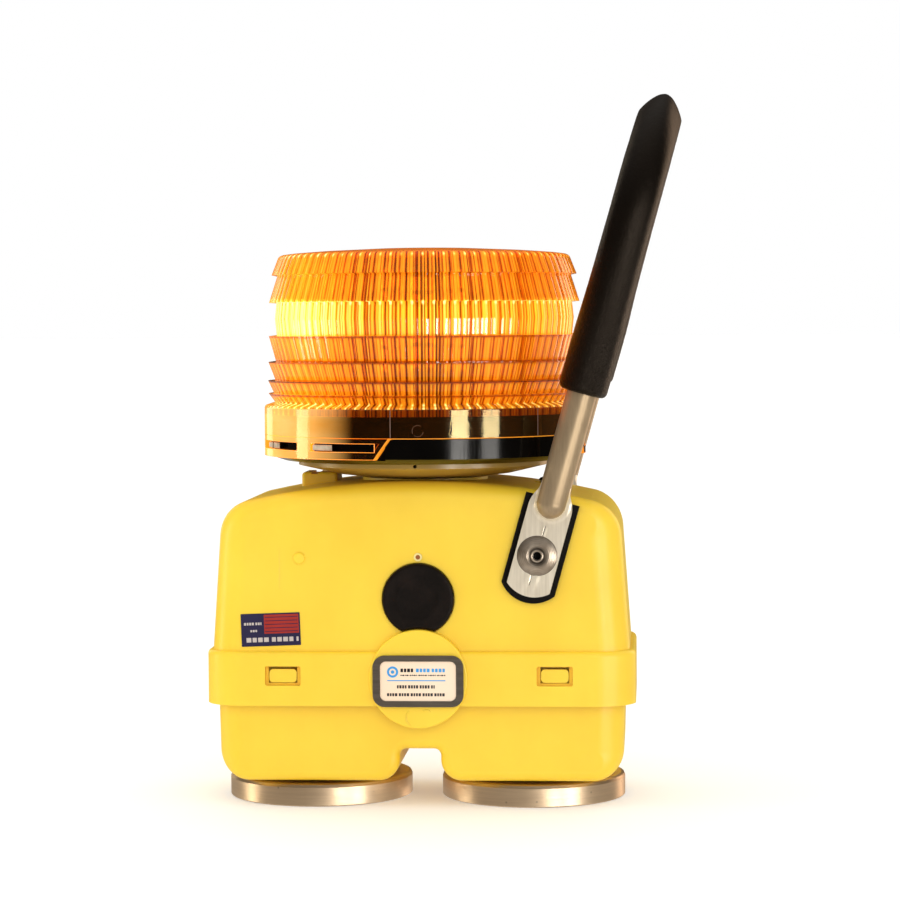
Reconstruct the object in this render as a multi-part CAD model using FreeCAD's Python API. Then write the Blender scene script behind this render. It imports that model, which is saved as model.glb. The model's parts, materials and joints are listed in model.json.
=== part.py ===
import FreeCAD, Part
import os
from math import cos, radians, sin, sqrt, tan

# Magnet-mount barricade warning light: a two-part yellow battery case on two round pot magnets,
# an amber beacon on a dish adapter on top, and a swinging bail handle on the right.
# Millimetres. +Z up, +X to the right seen from the front, the front faces -Y.
# The origin is midway between the magnets, on the surface that they stand on.

Vector = FreeCAD.Vector

# ---- driving dimensions -------------------------------------------------------------------------
# Case
WALL = 3.0
CASE_BOTTOM = 11.0
RIM_TOP = 60.0
LOWER_HALF_WIDTH = 86.5
LOWER_FOOT_HALF_WIDTH = 85.3
LOWER_HALF_DEPTH = 41.0
LOWER_CORNER_R = 13.0
NOTCH_HALF_WIDTH = 8.7
NOTCH_TOP = 24.6
NOTCH_LIP_R = 9.0
BAND_BOTTOM = 43.6
BAND_TOP = 66.4
BAND_HALF_WIDTH = 90.7
BAND_HALF_DEPTH = 46.0
BAND_CORNER_R = 16.0
HOOD_HALF_WIDTH = 88.3
HOOD_DRAFT = 3.5 / 51.0
HOOD_HALF_DEPTH = 43.5
HOOD_CREST = 137.5
HOOD_CREST_R = 327.0
HOOD_SHOULDER_R = 16.5
HOOD_CORNER_R = 13.0
HOOD_TOP_EDGE_R = 6.0
SEAT_R = 27.0
SEAT_TOP = 137.7
GASKET_HEIGHT = 2.5
# Front features
BOSS_R = 20.7
BOSS_Z = 55.0
BOSS_FACE = -47.0
BUTTON_Z = 88.3
BUTTON_R = 15.0
BUTTON_TRAVEL = 2.0
RECESS_FLOOR = -41.3
SWITCH_FACE = -38.6
PHOTOCELL_Z = 105.9
SHOULDER_PLUG = (49.0, 15.0)
PLUG_X = -50.0
PLUG_Z = 105.5
LABEL_Z = 54.3
STICKER_X = -62.2
STICKER_Z = 75.5
# Latches
LATCH_X = 57.0
LATCH_Z = 56.2
LATCH_ROOT_Z = 44.5
LATCH_WIDTH = 13.0
# Magnets
MAGNET_X = 46.2
MAGNET_R = 39.5
MAGNET_HEIGHT = 9.6
# Batteries
BATTERY_X = 45.3
BATTERY_SIDE = 66.0
BATTERY_BOTTOM = 17.5
BATTERY_TOP = 114.5
CONTACT_Z = 123.4
BOARD_Z = 124.0
# Handle
PIVOT_X = 50.0
PIVOT_Z = 106.8
HANDLE_TILT = 15.7
TUBE_R = 6.35
TUBE_WALL = 1.25
TUBE_START = 31.0
LEG_Y = 50.5
PLATE_Y = 47.0
PLATE_THICK = 2.6
PLATE_WIDTH = 18.5
PLATE_BOTTOM = -17.5
PLATE_END_R = 13.9
PAD_WIDTH = 23.0
PAD_BOTTOM = -20.4
PAD_TOP = 24.3
PAD_END_R = 14.3
HANDLE_TIP = 201.2
GRIP_START = 70.0
GRIP_FOOT_R = 10.1
GRIP_TOP_R = 9.3
RIVET_R = 2.4
RIVET_HEAD_R = 8.3
# Beacon
ADAPTER_R = 54.6
ADAPTER_TOP = 145.4
BASE_WALL_R = 66.4
BASE_FLANGE_R = 68.4
BASE_TOP = 163.0
SKIRT_R = 69.2
SKIRT_INNER_R = 66.9
SKIRT_EDGE = 156.2
SKIRT_LOW_EDGE = 147.5
LENS_INNER_R = 61.0
LENS_TWIST = 12.0
APRON_START = 10.0
APRON_SPAN = 90.0
BOARD_TOP = 154.6
SLOT_Z = (150.7, 154.3)
SLOT_OFFSETS = ((3.0, 29.0), (36.0, 67.0), (72.0, 85.0))
LUG_Z = (151.2, 153.6)
LUG_AZIMUTHS = ((-38.4, -29.4), (-71.0, -58.8))


# ---- helpers --------------------------------------------------------------------------------------
def save(name, *shapes):
    shape = shapes[0] if len(shapes) == 1 else Part.makeCompound(list(shapes))
    shape.exportStep(f"parts/{name}.step")


def box(x, y, z):
    corner = Vector(x[0], y[0], z[0])
    return Part.makeBox(x[1] - x[0], y[1] - y[0], z[1] - z[0], corner)


def rod_z(x, y, r, z0, z1):
    return Part.makeCylinder(r, z1 - z0, Vector(x, y, z0))


def rod_y(x, z, r, y0, y1):
    return Part.makeCylinder(r, y1 - y0, Vector(x, y0, z), Vector(0, 1, 0))


def turned(points, x=0.0, y=0.0, start=0.0, span=360.0):
    """Revolve a closed (radius, z) outline about the vertical axis through (x, y)."""
    corners = [Vector(r, 0, z) for r, z in points]
    face = Part.Face(Part.makePolygon(corners + corners[:1]))
    solid = face.revolve(Vector(0, 0, 0), Vector(0, 0, 1), span)
    solid.rotate(Vector(0, 0, 0), Vector(0, 0, 1), start)
    solid.translate(Vector(x, y, 0))
    return solid


def ring_sector(r, z, azimuth):
    """Ring segment between two azimuths in degrees, 0 at the front and positive to the right."""
    outline = [(r[0], z[0]), (r[1], z[0]), (r[1], z[1]), (r[0], z[1])]
    return turned(outline, start=azimuth[0] - 90.0, span=azimuth[1] - azimuth[0])


def outline_xz(corners, y=0.0):
    """Closed wire through (x, z, corner radius) points in a plane of constant y."""
    edges = []
    count = len(corners)
    joins = []
    for i, (x, z, r) in enumerate(corners):
        here = Vector(x, y, z)
        before = Vector(corners[i - 1][0], y, corners[i - 1][1])
        after = Vector(corners[(i + 1) % count][0], y, corners[(i + 1) % count][1])
        to_before = (before - here).normalize()
        to_after = (after - here).normalize()
        if r <= 0:
            joins.append((here, None, here))
            continue
        half = to_before.getAngle(to_after) / 2.0
        reach = r / tan(half)
        middle = (to_before + to_after).normalize() * (r / sin(half) - r)
        joins.append((here + to_before * reach, here + middle, here + to_after * reach))
    for i, (entry, middle, leave) in enumerate(joins):
        if middle is not None:
            edges.append(Part.Arc(entry, middle, leave).toShape())
        following = joins[(i + 1) % count][0]
        if leave.distanceToPoint(following) > 1e-6:
            edges.append(Part.LineSegment(leave, following).toShape())
    return Part.Wire(edges)


def plate_y(corners, y0, y1):
    return Part.Face(outline_xz(corners, y0)).extrude(Vector(0, y1 - y0, 0))


def rounded_plate(x, z, width, height, r, y0, y1):
    a = width / 2.0
    b = height / 2.0
    corners = [(x - a, z - b, r), (x + a, z - b, r), (x + a, z + b, r), (x - a, z + b, r)]
    return plate_y(corners, y0, y1)


def tongue_y(half_width, bottom, top, end_r, y0, y1):
    """Strap in the plane of the hood's front whose lower end is a shallow arc."""
    strap = box((-half_width, half_width), (y0, y1), (bottom, top))
    centre = bottom + end_r
    corners = box((-half_width - 1, half_width + 1), (y0 - 1, y1 + 1), (bottom - 1, centre))
    return strap.cut(corners.cut(rod_y(0, centre, end_r, y0 - 2, y1 + 2)))


def rounded_block_z(half_x, half_y, r, z0, z1):
    block = box((-half_x, half_x), (-half_y, half_y), (z0, z1))
    upright = [e for e in block.Edges if abs(e.Vertexes[0].Z - e.Vertexes[1].Z) > 1.0]
    return block.makeFillet(r, upright)


def fillet_by_rule(shape, radii):
    """Fillet each edge for which radii(edge) gives a (first vertex, last vertex) radius pair."""
    document = FreeCAD.newDocument("fillet")
    source = document.addObject("Part::Feature", "source")
    source.Shape = shape
    fillet = document.addObject("Part::Fillet", "fillet")
    fillet.Base = source
    picked = []
    for number, edge in enumerate(shape.Edges, 1):
        pair = radii(edge)
        if pair:
            picked.append((number, pair[0], pair[1]))
    fillet.Edges = picked
    document.recompute()
    result = fillet.Shape.copy()
    FreeCAD.closeDocument(document.Name)
    return result


def wire_run(points, bend_r, wire_r):
    """Round wire along straight runs joined by tangent arcs."""
    edges = []
    start = points[0]
    for i in range(1, len(points) - 1):
        corner = points[i]
        back = (points[i - 1] - corner).normalize()
        ahead = (points[i + 1] - corner).normalize()
        half = back.getAngle(ahead) / 2.0
        reach = bend_r / tan(half)
        entry = corner + back * reach
        leave = corner + ahead * reach
        middle = corner + (back + ahead).normalize() * (bend_r / sin(half) - bend_r)
        edges.append(Part.LineSegment(start, entry).toShape())
        edges.append(Part.Arc(entry, middle, leave).toShape())
        start = leave
    edges.append(Part.LineSegment(start, points[-1]).toShape())
    path = Part.Wire(edges)
    section = Part.Wire([Part.makeCircle(wire_r, points[0], points[1] - points[0])])
    return path.makePipeShell([section], True, True)


def coil(x, y, z0, z1, r_low, r_high, wire_r, turns):
    """Spring drawn as level rings that shrink upwards, standing on z0 and reaching z1."""
    rings = []
    rise = (z1 - z0 - 2 * wire_r) / (turns - 1)
    for i in range(turns):
        r = r_low + (r_high - r_low) * i / (turns - 1)
        rings.append(Part.makeTorus(r, wire_r, Vector(x, y, z0 + wire_r + i * rise)))
    low_end = Vector(x + r_low, y, z0 + wire_r)
    climb = Vector(x + r_high, y, z1 - wire_r) - low_end
    post = Part.makeCylinder(wire_r * 0.7, climb.Length, low_end, climb)
    spring = rings[0]
    for ring in rings[1:] + [post]:
        spring = spring.fuse(ring)
    return spring


# ---- lower case and magnets -------------------------------------------------------------------------
def lower_case():
    w = LOWER_HALF_WIDTH
    f = LOWER_FOOT_HALF_WIDTH
    n = NOTCH_HALF_WIDTH
    outer_corners = [
        (-w, RIM_TOP, 0), (-f, CASE_BOTTOM, LOWER_CORNER_R), (-n, CASE_BOTTOM, NOTCH_LIP_R),
        (-n, NOTCH_TOP, 3.0), (n, NOTCH_TOP, 3.0), (n, CASE_BOTTOM, NOTCH_LIP_R),
        (f, CASE_BOTTOM, LOWER_CORNER_R), (w, RIM_TOP, 0),
    ]
    outer = plate_y(outer_corners, -LOWER_HALF_DEPTH, LOWER_HALF_DEPTH)

    def outer_radii(edge):
        ends = edge.Vertexes
        if abs(ends[0].Y - ends[-1].Y) > 0.5 or min(abs(v.X) for v in ends) < n + 2.0:
            return None
        if min(v.Z for v in ends) > RIM_TOP - 0.1:
            return None
        return [11.0 if v.Z > CASE_BOTTOM + 5.0 else 4.0 for v in ends]

    outer = fillet_by_rule(outer, outer_radii)
    inner_w = w - WALL
    inner_f = f - WALL
    inner_n = n + WALL
    floor = CASE_BOTTOM + WALL
    inner_corners = [
        (-inner_w, RIM_TOP + 1, 0), (-inner_f, floor, LOWER_CORNER_R - WALL), (-inner_n, floor, 0),
        (-inner_n, NOTCH_TOP + WALL, 0), (inner_n, NOTCH_TOP + WALL, 0), (inner_n, floor, 0),
        (inner_f, floor, LOWER_CORNER_R - WALL), (inner_w, RIM_TOP + 1, 0),
    ]
    depth = LOWER_HALF_DEPTH - WALL
    inner = plate_y(inner_corners, -depth, depth)
    uprights = [e for e in inner.Edges
                if abs(e.Vertexes[0].Y - e.Vertexes[-1].Y) < 0.1
                and abs(e.Vertexes[0].Z - e.Vertexes[-1].Z) > 10.0
                and min(abs(v.X) for v in e.Vertexes) > inner_f - 0.5]
    inner = inner.makeFillet(8.0, uprights)
    case = outer.cut(inner)
    slot = LATCH_WIDTH / 2.0 + 0.75
    for x in (-LATCH_X, LATCH_X):
        for y in ((-LOWER_HALF_DEPTH - 1, -depth + 1), (depth - 1, LOWER_HALF_DEPTH + 1)):
            case = case.cut(box((x - slot, x + slot), y, (LATCH_ROOT_Z, RIM_TOP + 1)))
    for x in (-MAGNET_X, MAGNET_X):
        case = case.cut(rod_z(x, 0, 3.2, CASE_BOTTOM - 1, floor + 1))
    save("lower_case", case)


def latches():
    """Snap tongues that stand in the rim slots and hook into the windows of the hood's band."""
    half = LATCH_WIDTH / 2.0
    for side, x in (("left", -LATCH_X), ("right", LATCH_X)):
        for end, sign in (("front", 1.0), ("rear", -1.0)):
            strip = box((x - half, x + half), (-LOWER_HALF_DEPTH, -38.6), (LATCH_ROOT_Z + 0.4, 59.6))
            hook = rounded_plate(x, LATCH_Z, 11.5, 5.6, 1.6, -45.0, -40.8)
            tongue = strip.fuse(hook)
            if sign < 0:
                tongue = tongue.mirror(Vector(0, 0, 0), Vector(0, 1, 0))
            save(f"latch_{end}_{side}", tongue)


def case_gasket():
    ring = rounded_block_z(87.2, 42.6, 13.0, RIM_TOP, RIM_TOP + GASKET_HEIGHT)
    ring = ring.cut(rounded_block_z(83.2, 38.6, 9.0, RIM_TOP - 1, RIM_TOP + GASKET_HEIGHT + 1))
    save("case_gasket", ring)


def magnets():
    h = MAGNET_HEIGHT
    pocket_r = MAGNET_R - 3.2
    cup_outline = [
        (3.2, 7.2), (pocket_r, 7.2), (pocket_r, 0), (MAGNET_R - 0.4, 0), (MAGNET_R, 0.4),
        (MAGNET_R, h - 1.7), (MAGNET_R - 0.5, h - 0.5), (MAGNET_R - 1.7, h), (3.2, h),
    ]
    core_r = pocket_r - 0.1
    core_outline = [(9.0, 0.5), (core_r, 0.5), (core_r, 7.1), (9.0, 7.1)]
    washer_outline = [(3.2, h), (14.0, h), (14.0, CASE_BOTTOM), (3.2, CASE_BOTTOM)]
    bolt_outline = [(0, 4.0), (6.5, 4.0), (6.5, 7.2), (3.0, 7.2), (3.0, 17.2), (0, 17.2)]
    washers = []
    bolts = []
    nuts = []
    for side, x in (("left", -MAGNET_X), ("right", MAGNET_X)):
        save(f"magnet_cup_{side}", turned(cup_outline, x))
        save(f"magnet_core_{side}", turned(core_outline, x))
        washers.append(turned(washer_outline, x))
        bolts.append(turned(bolt_outline, x))
        hexagon = [Vector(x + 5.6 * cos(radians(60 * i)), 5.6 * sin(radians(60 * i)), CASE_BOTTOM + WALL)
                   for i in range(7)]
        nut = Part.Face(Part.makePolygon(hexagon)).extrude(Vector(0, 0, 3.0))
        nuts.append(nut.cut(rod_z(x, 0, 3.05, CASE_BOTTOM, 20.0)))
    save("magnet_washers", *washers)
    save("magnet_bolts", *bolts)
    save("magnet_nuts", *nuts)


def batteries():
    half = BATTERY_SIDE / 2.0
    floor = CASE_BOTTOM + WALL
    cushions = []
    for side, sign in (("left", -1.0), ("right", 1.0)):
        x = sign * BATTERY_X
        cell = rounded_block_z(half, half, 7.0, BATTERY_BOTTOM, BATTERY_TOP)
        cell.translate(Vector(x, 0, 0))
        save(f"battery_{side}", cell)
        pad = box((x - 25, x + 25), (-25, 25), (floor, BATTERY_BOTTOM))
        cushions.append(pad.cut(rod_z(sign * MAGNET_X, 0, 8.0, floor - 1, BATTERY_BOTTOM + 1)))
        springs = [coil(x, 0, BATTERY_TOP, CONTACT_Z, 7.0, 3.5, 0.7, 5),
                   coil(x + sign * 20, 20, BATTERY_TOP, CONTACT_Z, 5.5, 3.0, 0.7, 5)]
        save(f"battery_springs_{side}", *springs)
    save("battery_cushions", *cushions)


# ---- hood -------------------------------------------------------------------------------------------
def hood_side_x(z, inset):
    return HOOD_HALF_WIDTH - inset - (z - BAND_TOP) * HOOD_DRAFT


def hood_block(bottom, inset):
    """The hood's body above the given level: drafted sides, crowned top and round shoulders."""
    crest_r = HOOD_CREST_R - inset
    crest = HOOD_CREST - inset
    x = HOOD_HALF_WIDTH
    for _ in range(30):
        shoulder = crest - crest_r + sqrt(crest_r ** 2 - x ** 2)
        x = hood_side_x(shoulder, inset)
    y = HOOD_HALF_DEPTH - inset
    foot = hood_side_x(bottom, inset)
    top_left = Vector(-x, -y, shoulder)
    top_right = Vector(x, -y, shoulder)
    foot_left = Vector(-foot, -y, bottom)
    foot_right = Vector(foot, -y, bottom)
    outline = Part.Wire([
        Part.LineSegment(foot_left, top_left).toShape(),
        Part.Arc(top_left, Vector(0, -y, crest), top_right).toShape(),
        Part.LineSegment(top_right, foot_right).toShape(),
        Part.LineSegment(foot_right, foot_left).toShape(),
    ])
    block = Part.Face(outline).extrude(Vector(0, 2 * y, 0))
    shoulders = [e for e in block.Edges
                 if abs(e.Vertexes[0].Z - shoulder) < 0.1 and abs(e.Vertexes[-1].X - e.Vertexes[0].X) < 0.1
                 and abs(e.Vertexes[-1].Z - shoulder) < 0.1]
    block = block.makeFillet(HOOD_SHOULDER_R - inset, shoulders)
    steep = shoulder - HOOD_SHOULDER_R + inset + 5.0

    def radii(edge):
        ends = edge.Vertexes
        if abs(ends[0].Y - ends[-1].Y) > 0.5:
            return None
        if max(v.Z for v in ends) < bottom + 0.1:
            return None
        return [HOOD_TOP_EDGE_R - inset * 0.5 if v.Z > steep else HOOD_CORNER_R - inset for v in ends]

    return fillet_by_rule(block, radii)


def upper_case():
    seam = RIM_TOP + GASKET_HEIGHT
    body = hood_block(BAND_TOP - 8.0, 0.0)
    band = rounded_block_z(BAND_HALF_WIDTH, BAND_HALF_DEPTH, BAND_CORNER_R, BAND_BOTTOM, BAND_TOP)
    lip = [e for e in band.Edges if min(v.Z for v in e.Vertexes) > BAND_TOP - 0.1]
    band = band.makeFillet(2.2, lip)
    boss = rod_y(0, BOSS_Z, BOSS_R, BOSS_FACE, -BAND_HALF_DEPTH + WALL)
    boss = boss.makeFillet(0.7, [e for e in boss.Edges if abs(e.BoundBox.YMax - BOSS_FACE) < 0.01])
    shell = body.fuse(band).fuse(boss).fuse(rod_z(0, 0, SEAT_R, 133.0, SEAT_TOP))
    shell = shell.cut(rounded_block_z(BAND_HALF_WIDTH - WALL, BAND_HALF_DEPTH - WALL, BAND_CORNER_R - WALL,
                                      BAND_BOTTOM - 1, seam))
    shell = shell.cut(rounded_block_z(83.4, 38.8, 9.0, seam - 1, seam + 4.0))
    shell = shell.cut(hood_block(seam + 3.0, WALL))

    switch_boss = rod_y(0, BUTTON_Z, BUTTON_R + 3.0, -HOOD_HALF_DEPTH + 1.0, SWITCH_FACE)
    shell = shell.fuse(switch_boss)
    shell = shell.cut(button_outline(BUTTON_R + 0.35, BOSS_R, -BOSS_R * 3, RECESS_FLOOR))
    shell = shell.cut(rod_y(0, BUTTON_Z, 4.4, -HOOD_HALF_DEPTH - 1, SWITCH_FACE + 1))

    for x, y in board_screw_places():
        shell = shell.fuse(rod_z(x, y, 3.5, BOARD_Z + 2.0, 135.0))
        shell = shell.cut(rod_z(x, y, 1.3, BOARD_Z + 1.0, 132.0))

    block = box((-54.4, -38.8), (4.0, 24.0), (129.5, 139.1))
    block = block.makeFillet(1.5, [e for e in block.Edges if max(v.Z for v in e.Vertexes) > 139.0])
    block = block.cut(box((-50.2, -46.8), (3.0, 25.0), (138.3, 140.0)))
    shell = shell.fuse(block.cut(hood_block(seam + 3.0, WALL - 1.0)))

    window = (15.0, 8.2, 0.8)
    for x in (-LATCH_X, LATCH_X):
        for y in (-BAND_HALF_DEPTH - 1, BAND_HALF_DEPTH - WALL - 1):
            shell = shell.cut(rounded_plate(x, LATCH_Z, *window, y, y + WALL + 2))
    for y in (-HOOD_HALF_DEPTH - 1, HOOD_HALF_DEPTH - WALL - 1):
        shell = shell.cut(rod_y(PIVOT_X, PIVOT_Z, RIVET_R + 0.1, y, y + WALL + 2))
        shell = shell.cut(rod_y(PLUG_X, PLUG_Z, 1.95, y, y + WALL + 2))
    shell = shell.cut(rod_y(0, PHOTOCELL_Z, 1.75, -HOOD_HALF_DEPTH - 1, -HOOD_HALF_DEPTH + WALL + 1))
    shell = shell.cut(rod_y(0, PHOTOCELL_Z, 3.4, -HOOD_HALF_DEPTH + WALL, SWITCH_FACE + 1))
    shell = shell.cut(rod_z(0, 0, 7.6, 125.0, 140.0))
    for x, y in adapter_screw_places():
        shell = shell.cut(rod_z(x, y, 2.1, 125.0, 140.0))
    shell = shell.cut(rod_z(*SHOULDER_PLUG, 3.0, 125.0, 140.0))
    save("upper_case", shell)


def button_outline(r, boss_r, y0, y1):
    """Disc whose lower edge is bitten out by the round boss below it."""
    return rod_y(0, BUTTON_Z, r, y0, y1).cut(rod_y(0, BOSS_Z, boss_r, y0 - 1, y1 + 1))


def board_screw_places():
    return [(x, y) for x in (-9.0, 9.0) for y in (-24.0, 24.0)]


def adapter_screw_places():
    return [(x, y) for x in (-12.5, 12.5) for y in (-12.5, 12.5)]


def hood_trim():
    frame = rounded_plate(0, LABEL_Z, 38.0, 21.5, 5.0, BOSS_FACE - 1.3, BOSS_FACE)
    frame = frame.cut(rounded_plate(0, LABEL_Z, 32.0, 16.8, 2.6, BOSS_FACE - 2, BOSS_FACE + 1))
    save("label_frame", frame)
    save("label_plate", rounded_plate(0, LABEL_Z, 31.8, 16.6, 2.5, BOSS_FACE - 0.8, BOSS_FACE))
    sticker = rounded_plate(STICKER_X, STICKER_Z, 25.0, 13.8, 0.3, -HOOD_HALF_DEPTH - 0.2, -HOOD_HALF_DEPTH)
    sticker.rotate(Vector(STICKER_X, 0, STICKER_Z), Vector(0, 1, 0), -2.0)
    save("side_sticker", sticker)

    plugs = []
    for sign in (1.0, -1.0):
        head = rod_y(PLUG_X, PLUG_Z, 2.5, -HOOD_HALF_DEPTH - 1.1, -HOOD_HALF_DEPTH)
        head = head.makeFillet(0.9, [e for e in head.Edges if e.BoundBox.YMax < -HOOD_HALF_DEPTH - 1.0])
        plug = head.fuse(rod_y(PLUG_X, PLUG_Z, 1.9, -HOOD_HALF_DEPTH - 0.5, -HOOD_HALF_DEPTH + 4.5))
        plugs.append(plug if sign > 0 else plug.mirror(Vector(0, 0, 0), Vector(0, 1, 0)))
    save("blanking_plugs", *plugs)

    bezel = rod_y(0, PHOTOCELL_Z, 1.7, -HOOD_HALF_DEPTH - 0.4, -40.4)
    save("photocell_bezel", bezel.cut(rod_y(0, PHOTOCELL_Z, 1.0, -HOOD_HALF_DEPTH - 1, -40.0)))
    sensor = rod_y(0, PHOTOCELL_Z, 0.95, -HOOD_HALF_DEPTH - 0.2, -40.0)
    save("photocell_sensor", sensor.fuse(rod_y(0, PHOTOCELL_Z, 3.2, -40.4, -36.0)))

    x, y = SHOULDER_PLUG
    cap = [
        (0, 128.5), (2.9, 128.5), (2.9, 134.6), (4.6, 134.6), (4.2, 135.8), (2.6, 136.5), (0, 136.7),
    ]
    save("shoulder_plug", turned(cap, x, y))


def button_and_switch():
    disc = button_outline(BUTTON_R, BOSS_R + 0.35, -45.7, RECESS_FLOOR - BUTTON_TRAVEL - 0.1)
    stem = rod_y(0, BUTTON_Z, 4.0, -45.0, -39.0)
    save("button_boot", disc.fuse(stem))
    save("switch_plunger", rod_y(0, BUTTON_Z, 2.5, -39.0, -30.0))
    body = rod_y(0, BUTTON_Z, 8.5, SWITCH_FACE, -20.0)
    body = body.cut(rod_y(0, BUTTON_Z, 4.6, SWITCH_FACE - 1, -36.5))
    body = body.cut(rod_y(0, BUTTON_Z, 2.56, SWITCH_FACE - 1, -26.0))
    save("switch_body", body)
    retainer = rod_y(0, BUTTON_Z, 14.0, SWITCH_FACE, SWITCH_FACE + 1.2)
    save("switch_retainer", retainer.cut(rod_y(0, BUTTON_Z, 8.6, SWITCH_FACE - 1, SWITCH_FACE + 3)))
    spring = coil(0, 0, 0, 4.0, 1.9, 1.9, 0.35, 4)
    spring.rotate(Vector(0, 0, 0), Vector(1, 0, 0), -90.0)
    spring.translate(Vector(0, -30.0, BUTTON_Z))
    save("button_spring", spring)


def contact_board():
    board = box((-68.0, 68.0), (-28.0, 28.0), (BOARD_Z, BOARD_Z + 2.0))
    board = board.cut(box((-6.0, 6.0), (-6.0, 6.0), (BOARD_Z - 1, BOARD_Z + 3)))
    screw = [(0, 122.0), (3.0, 122.0), (3.0, BOARD_Z), (1.25, BOARD_Z), (1.25, 131.0), (0, 131.0)]
    screws = []
    for x, y in board_screw_places():
        board = board.cut(rod_z(x, y, 1.7, BOARD_Z - 1, BOARD_Z + 3))
        screws.append(turned(screw, x, y))
    save("contact_board", board)
    save("contact_board_screws", *screws)
    strips = []
    for sign in (-1.0, 1.0):
        ends = sorted((sign * 8.0, sign * 56.0))
        strips.append(box(ends, (-4.0, 4.0), (CONTACT_Z, BOARD_Z)))
        ends = sorted((sign * 8.0, sign * 67.5))
        strip = box(ends, (13.0, 23.8), (CONTACT_Z, BOARD_Z))
        strips.append(strip.cut(rod_z(sign * 9.0, 24.0, 3.6, CONTACT_Z - 1, BOARD_Z + 1)))
    save("contact_strips", *strips)


# ---- beacon -------------------------------------------------------------------------------------------
def beacon_adapter():
    outline = [
        (7.6, SEAT_TOP), (24.0, SEAT_TOP), (38.0, 139.3), (ADAPTER_R, 143.2), (ADAPTER_R, ADAPTER_TOP),
        (51.6, ADAPTER_TOP), (51.6, 144.4), (37.0, 141.7), (22.0, 140.1), (7.6, 140.1),
    ]
    dish = turned(outline)
    for x, y in base_screw_places():
        dish = dish.fuse(rod_z(x, y, 4.0, 141.2, ADAPTER_TOP))
        dish = dish.cut(rod_z(x, y, 1.6, 141.8, ADAPTER_TOP + 1))
    for x, y in adapter_screw_places():
        dish = dish.cut(rod_z(x, y, 2.1, SEAT_TOP - 1, 141.0))
    dish = dish.cut(rod_y(0, 144.3, 0.8, -ADAPTER_R - 1, -50.0))
    save("beacon_adapter", dish)
    screw = [(0, 130.5), (2.0, 130.5), (2.0, 140.1), (3.8, 140.1), (3.4, 142.2), (0, 142.6)]
    save("adapter_screws", *[turned(screw, x, y) for x, y in adapter_screw_places()])
    grommet = [
        (5.0, 132.8), (9.0, 132.8), (9.0, 134.2), (7.4, 134.2), (7.4, 140.2), (9.0, 140.2),
        (9.0, 141.4), (5.0, 141.4),
    ]
    save("wire_grommet", turned(grommet))


def base_screw_places():
    return [(44.0 * sin(radians(a)), -44.0 * cos(radians(a))) for a in (60.0, 180.0, 300.0)]


def board_post_places():
    return [(40.0 * sin(radians(a)), -40.0 * cos(radians(a))) for a in (0.0, 120.0, 240.0)]


def apron_ranges():
    """Azimuths of the two deep segments of the lens skirt."""
    first = -APRON_START - APRON_SPAN
    return [(first, first + APRON_SPAN), (first + 180.0, first + APRON_SPAN + 180.0)]


def beacon_base():
    floor_top = 149.5
    base = turned([
        (6.0, ADAPTER_TOP), (60.8, ADAPTER_TOP), (BASE_WALL_R, 147.2), (BASE_WALL_R, BASE_TOP),
        (BASE_WALL_R - 3.0, BASE_TOP), (BASE_WALL_R - 3.0, floor_top), (6.0, floor_top),
    ])
    for low, high in apron_ranges():
        start = high + 0.6
        end = low + 180.0 - LENS_TWIST - 1.0
        flange = [(BASE_WALL_R - 1.0, 147.0), (BASE_WALL_R, 147.0), (BASE_FLANGE_R, 147.8),
                  (BASE_FLANGE_R, SKIRT_EDGE - 0.25), (BASE_WALL_R - 1.0, SKIRT_EDGE - 0.25)]
        base = base.fuse(turned(flange, start=start - 90.0, span=end - start))
    for turn in (0.0, 180.0):
        for low, high in LUG_AZIMUTHS:
            base = base.fuse(ring_sector((BASE_WALL_R - 1.0, 68.5), LUG_Z, (low + turn, high + turn)))
    for x, y in board_post_places():
        base = base.fuse(rod_z(x, y, 3.5, floor_top - 1, 153.0))
    for x, y in base_screw_places():
        base = base.cut(rod_z(x, y, 2.1, ADAPTER_TOP - 1, floor_top + 1))
    save("beacon_base", base)
    screw = [(0, 142.0), (1.55, 142.0), (1.55, floor_top), (3.6, floor_top), (3.2, 151.5), (0, 151.9)]
    save("base_screws", *[turned(screw, x, y) for x, y in base_screw_places()])
    save("lens_seal", turned([(63.8, BASE_TOP), (66.2, BASE_TOP), (66.2, 165.1), (63.8, 165.1)]))


def beacon_electronics():
    board = rod_z(0, 0, 52.0, 153.0, BOARD_TOP)
    save("driver_board", board.cut(rod_z(0, 0, 6.0, 152.0, 156.0)))
    parts = [
        rod_z(-34.0, 14.0, 6.0, BOARD_TOP, 167.0),
        rod_z(-20.0, 32.0, 5.0, BOARD_TOP, 165.0),
        box((24.0, 38.0), (10.0, 24.0), (BOARD_TOP, 162.0)),
        box((-36.0, -22.0), (-22.0, -12.0), (BOARD_TOP, 159.0)),
        box((26.0, 34.0), (-22.0, -14.0), (BOARD_TOP, 158.0)),
    ]
    save("board_components", *parts)
    tower_corners = [Vector(17.0 * cos(radians(60 * i)), 17.0 * sin(radians(60 * i)), BOARD_TOP)
                     for i in range(7)]
    tower = Part.Face(Part.makePolygon(tower_corners)).extrude(Vector(0, 0, 64.0))
    tower = tower.cut(rod_z(0, 0, 11.0, BOARD_TOP - 1, BOARD_TOP + 60.0))
    save("led_tower", tower)
    flat = 17.0 * cos(radians(30))
    modules = []
    for i in range(6):
        for z in (197.0, 205.0, 213.0):
            chip = box((flat, flat + 1.2), (-4.0, 4.0), (z - 3.0, z + 3.0))
            chip = chip.fuse(Part.makeSphere(2.4, Vector(flat + 1.0, 0, z)).common(
                box((flat, flat + 5.0), (-4.0, 4.0), (z - 3.0, z + 3.0))))
            chip.rotate(Vector(0, 0, 0), Vector(0, 0, 1), 30.0 + 60.0 * i)
            modules.append(chip)
    save("led_modules", *modules)


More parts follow.
